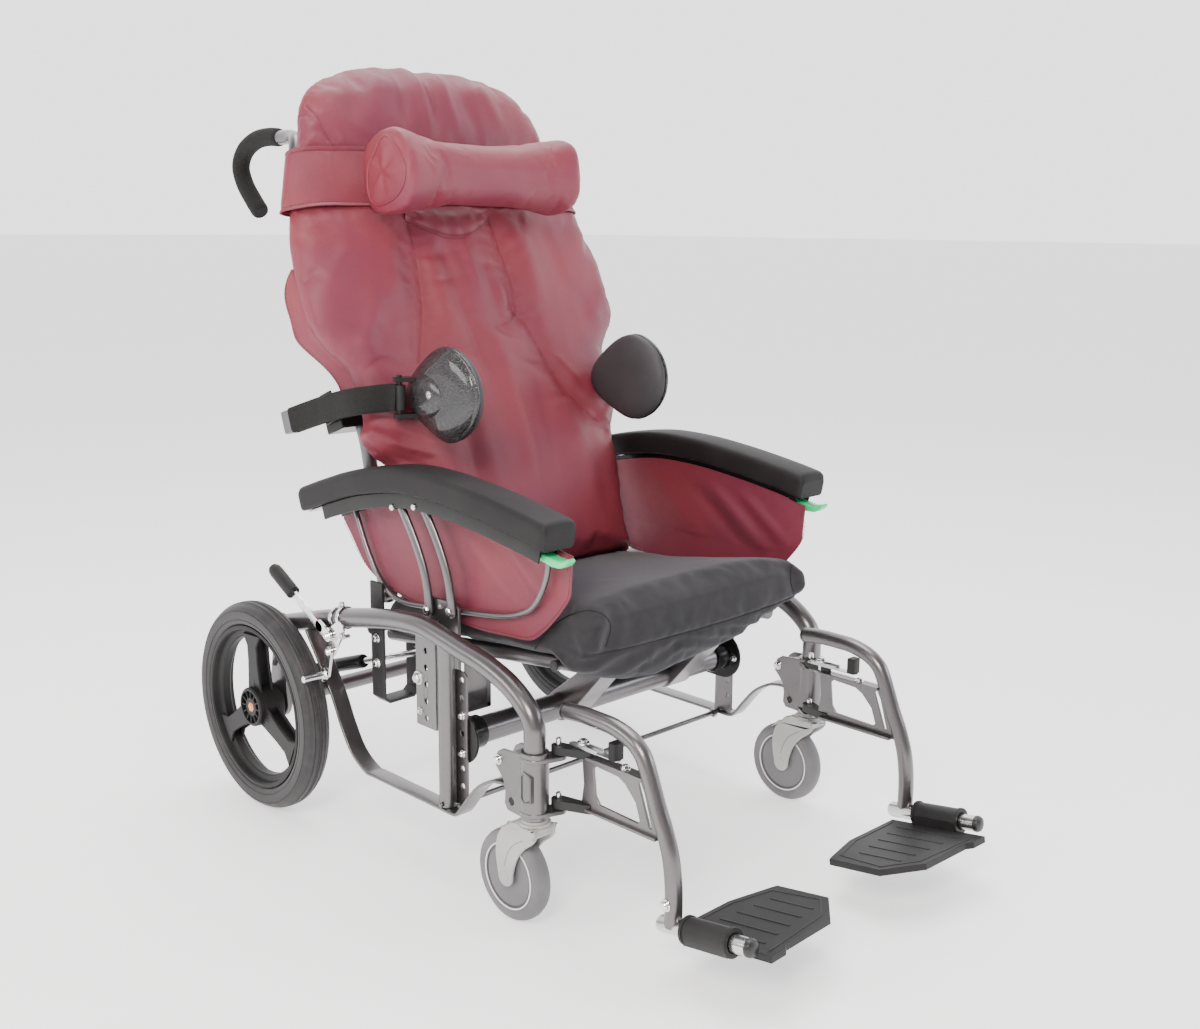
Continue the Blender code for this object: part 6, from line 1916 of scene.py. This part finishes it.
def head_band(tree):
    """A band right round the back, drawn tight, with a turned hem along both edges."""
    band = new()
    steps = 144
    heights = [
        0.5290, 0.5300, 0.5330, 0.5345, 0.5360, 0.5450, 0.5600, 0.5750, 0.5900, 0.6050, 0.6140,
        0.6155, 0.6170, 0.6200, 0.6210,
    ]
    rings = []
    for s in heights:
        width = back_half_width(s) - 0.003
        row = []
        for i in range(steps):
            angle = 2 * math.pi * i / steps
            c, d = math.cos(angle), math.sin(angle)
            x, n = width * squared(c, BOXY), COVER_DEPTH * squared(d, BOXY)
            outward = squared(c, 2.6) * ACROSS + squared(d, 1.4) * FORWARD
            outward.normalize()
            spot = back_point(x, s, n)
            hit = tree.ray_cast(spot + 0.06 * outward, -outward)[0] or spot
            groove = 0.0007 * (bell(s, BAND_LOW, 0.0012) + bell(s, BAND_HIGH, 0.0012))
            hem = 0.0006 * (smooth(0.5350, 0.5335, s) + smooth(0.6150, 0.6165, s))
            clear = 0.0024 + (0.0050 if c > 0 else 0.0150) * abs(c) ** 3 + hem - groove
            pull = 0.0008 * noise.noise((18 * x, 60 * s, 3 * d))
            row.append(band.verts.new(hit + (clear + pull) * outward))
        rings.append(row)
    joined(band, rings)
    size = area(band)
    hems = [[v.co.copy() for v in rings[heights.index(s)]] for s in (BAND_LOW, BAND_HIGH)]
    thickened(band, 0.0020)
    strap = piece(
        "head_band", band, VINYL, "back", ["head_strap"], bevel=0.0005, subdivide=1, sharp=60
    )
    thread = new()
    for hem in hems:
        front = [p + 0.0006 * FORWARD for p in hem if on_the_back(p)[2] > 0.004]
        front.sort(key=lambda p: p.x)
        stitches(thread, front, radius=STITCH_RADIUS)
    piece("band_stitches", thread, THREAD, "back")


ROLL_X, ROLL_HALF = -0.014, 0.176
ROLL_HEIGHT, ROLL_REACH = 0.551, 0.0995
WAIST_RADIUS = 0.0440


def head_roll():
    """A waisted bolster with piped, faintly gathered ends and slack folds round its waist."""
    height, reach = ROLL_HEIGHT, ROLL_REACH
    middle = Matrix.Translation(back_point(ROLL_X, height, reach))
    turn = Matrix((FORWARD, UP_THE_BACK, ACROSS)).transposed().to_4x4()
    spots = []
    for i in range(53):
        share = math.sin(math.pi / 2 * (i / 26 - 1))
        flare = (0.0205 if share > 0 else 0.0245) * abs(share) ** 2.4
        radius = (WAIST_RADIUS + flare) * max(0.02, 1 - abs(share) ** 40) ** 0.5
        aside = Matrix.Translation((ROLL_HALF - 0.002) * share * ACROSS)
        spots.append(middle @ aside @ turn @ Matrix.Diagonal((radius, radius, 1, 1)))
    skin = loft(new(), circle(0, 0, 1.0, 48), spots)

    def firm(point):
        return 0.95 * smooth(ROLL_HALF - 0.020, ROLL_HALF - 0.010, abs(point.x - ROLL_X))

    skin = stuffed(skin, 0.0055, 0.0040, firm, slack=0.01)

    def relief(point, normal):
        x, s, n = on_the_back(point)
        x -= ROLL_X
        around = math.atan2(s - height, n - reach)
        face = smooth(0.5, 0.9, abs(normal.x))
        lift = 0.0012 * face * noise.noise((20 * (s - height), 20 * (n - reach), 4.0))
        lift -= 0.0014 * bell(abs(x), ROLL_HALF - 0.0065, 0.0030) * (1 - face)
        slack = 0.0022 * smooth(0.06, 0.16, abs(x)) * (1 - face)
        lift += slack * math.sin(4 * around + 28 * abs(x) + 1.0)
        lift += 0.0026 * noise.noise((12 * x, 1.3 * math.cos(around), 1.3 * math.sin(around)))
        lift += 0.0005 * noise.noise((40 * x, 2.0 * math.cos(around), 2.0 * math.sin(around)))
        return lift

    skin = raised(skin, relief)
    tree = bvhtree.BVHTree.FromBMesh(skin)
    roll = piece("head_roll_cover", skin, VINYL, "back", ["head_roll"], sharp=180)
    cord = new()
    turns = [2 * math.pi * i / 64 for i in range(64)]
    rays = [math.cos(angle) * FORWARD + math.sin(angle) * UP_THE_BACK for angle in turns]
    for _, sign in SIDES:
        centre = back_point(ROLL_X + sign * (ROLL_HALF - 0.0050), height, reach)
        ring = []
        for outward in rays:
            hit = tree.ray_cast(centre + 0.1 * outward, -outward)[0] or centre + 0.055 * outward
            ring.append((hit - centre).dot(outward))
        even = [sum(ring[(i + k) % 64] for k in range(-4, 5)) / 9 for i in range(64)]
        path = [centre + (out + 0.0012) * outward for out, outward in zip(even, rays)]
        places = stations([*path, path[0]])
        loft(cord, circle(0, 0, 0.0019, 10), [*places[:-1], places[0]])
    piece("roll_piping", cord, VINYL, "back")


# Seat cushion

SEAT_HALF = 0.2340


def seat_cover():
    """The seat's stuffed cover: crowned, boxed in front, and gathered under its front seam."""
    cover = new()
    count, around = 56, 96
    rows = []
    for row in range(count + 1):
        t = row / count
        y = -0.040 + 0.436 * t
        front = math.sin(min(1.0, 0.22 + t / 0.14) * math.pi / 2) ** 0.6
        back = math.sin(min(1.0, 0.45 + (1 - t) / 0.10) * math.pi / 2) ** 0.6
        full = front * back
        low, high = seat_under(y) + 0.003, seat_over(y) - 0.003
        middle, half = (low + high) / 2, (high - low) / 2
        ring = []
        for i in range(around):
            angle = 2 * math.pi * (i + 0.5) / around
            c, s = math.cos(angle), math.sin(angle)
            x = (SEAT_HALF - 0.006) * squared(c, 0.30) * (0.95 + 0.05 * full)
            flat = abs(s) ** 0.42 if s > 0 else -(abs(s) ** 0.22)
            across = max(0.0, 1 - (x / SEAT_HALF) ** 2)
            z = middle + half * flat * full
            if s > 0:
                z += (0.014 * across + 0.011 * (1 - across) * smooth(0.18, 0.30, y)) * full * s**0.3
            else:
                belly = 0.052 * across**0.5 * smooth(0.045, 0.012, y) * smooth(-0.042, -0.022, y)
                z -= belly * abs(s) ** 0.3 * smooth(0.24, -0.02, x)
            ring.append(cover.verts.new(at(x, y, z)))
        rows.append(ring)
    closed_ends(cover, rows)

    def firm(point):
        y, z = point.y + STEM_SETBACK, point.z
        underside = smooth(0.006, 0.0, z - seat_under(y)) if y > 0.02 else 0.0
        return max(underside, 0.7 * bell(z, 0.357, 0.006) * smooth(0.02, -0.02, y))

    cover = stuffed(cover, 0.0075, 0.007, firm, slack=0.01)

    def relief(point, normal):
        x, y, z = point.x, point.y + STEM_SETBACK, point.z
        ahead = smooth(0.03, -0.02, y)
        seam = front_seam(x)
        lift = -0.0024 * ahead * bell(z, seam, 0.0026) * smooth(0.7, 0.2, normal.z)
        below = smooth(seam, seam - 0.010, z) * smooth(0.060, 0.0, y)
        sweep_back = z - seam + 0.35 * abs(x + 0.05)
        pleat = math.sin(230 * sweep_back + 4 * noise.noise((9 * x, 20 * z, 0)))
        lift += 0.0016 * below * pleat * smooth(0.318, 0.334, z)
        lift += 0.0010 * below * noise.noise((30 * x, 30 * z, 3))
        corner = bell(abs(x), 0.200, 0.030) * smooth(0.02, -0.03, y)
        lift += 0.0016 * corner * math.sin(150 * abs(x) + 70 * z) * smooth(seam, seam + 0.01, z)
        lift += 0.0020 * noise.noise((5 * x, 5 * y, 6 * z)) * smooth(-0.3, 0.4, normal.z)
        lift += 0.0004 * noise.noise((26 * x, 20 * y, 26 * z))
        return lift

    cover = raised(cover, relief)
    tree = bvhtree.BVHTree.FromBMesh(cover)
    soft = piece("seat_cushion_cover", cover, CLOTH, "seat", ["seat_cushion"], sharp=180)
    seams = new()
    line = [at(x / 1000, -0.10, front_seam(x / 1000)) for x in range(-216, 217, 8)]
    pipe(seams, laid(tree, line, REARWARD, 0.0001), 0.0007, 8)
    for _, sign in SIDES:
        leaf = through([at(sign * x, y, z) for x, y, z in GUSSET], 6)
        slanted = Vector((-sign * 0.685, 0.699, -0.205))
        pipe(seams, laid(tree, leaf, slanted, 0.0002), 0.0009, 8)
    piece("seat_seams", seams, BLACK_THREAD, "seat")


# The corner gusset's seam, seen slantwise: points beside the cushion's front corner
GUSSET_ACROSS = (-0.063, -0.046, -0.027, -0.008, 0.010, 0.028, 0.037, 0.031)
GUSSET_HEIGHTS = (0.362, 0.388, 0.405, 0.415, 0.419, 0.414, 0.398, 0.372)
GUSSET = [(0.225 - 0.714 * a, -0.020 - 0.700 * a, z) for a, z in zip(GUSSET_ACROSS, GUSSET_HEIGHTS)]


def front_seam(x):
    """Height of the seam along the cushion's front."""
    return 0.358 + 0.004 * (x / 0.2) ** 2


base_tubes()
axle_assembly()
caster_housings()
casters()
rear_wheels()
cross_tube_brackets()
leg_rests()
footplates()
brakes()
seat_tubes()
gas_spring()
arm_pads()
arm_rails()
arm_panels()
back_tubes()
supports()
back_tree = back_cover()
neck_flap(back_tree)
back_wings()
head_band(back_tree)
head_roll()
seat_cover()


both_boxes = {"cad": cad_box, "visual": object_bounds()}
{name: [list(corner) for corner in box] for name, box in both_boxes.items()}
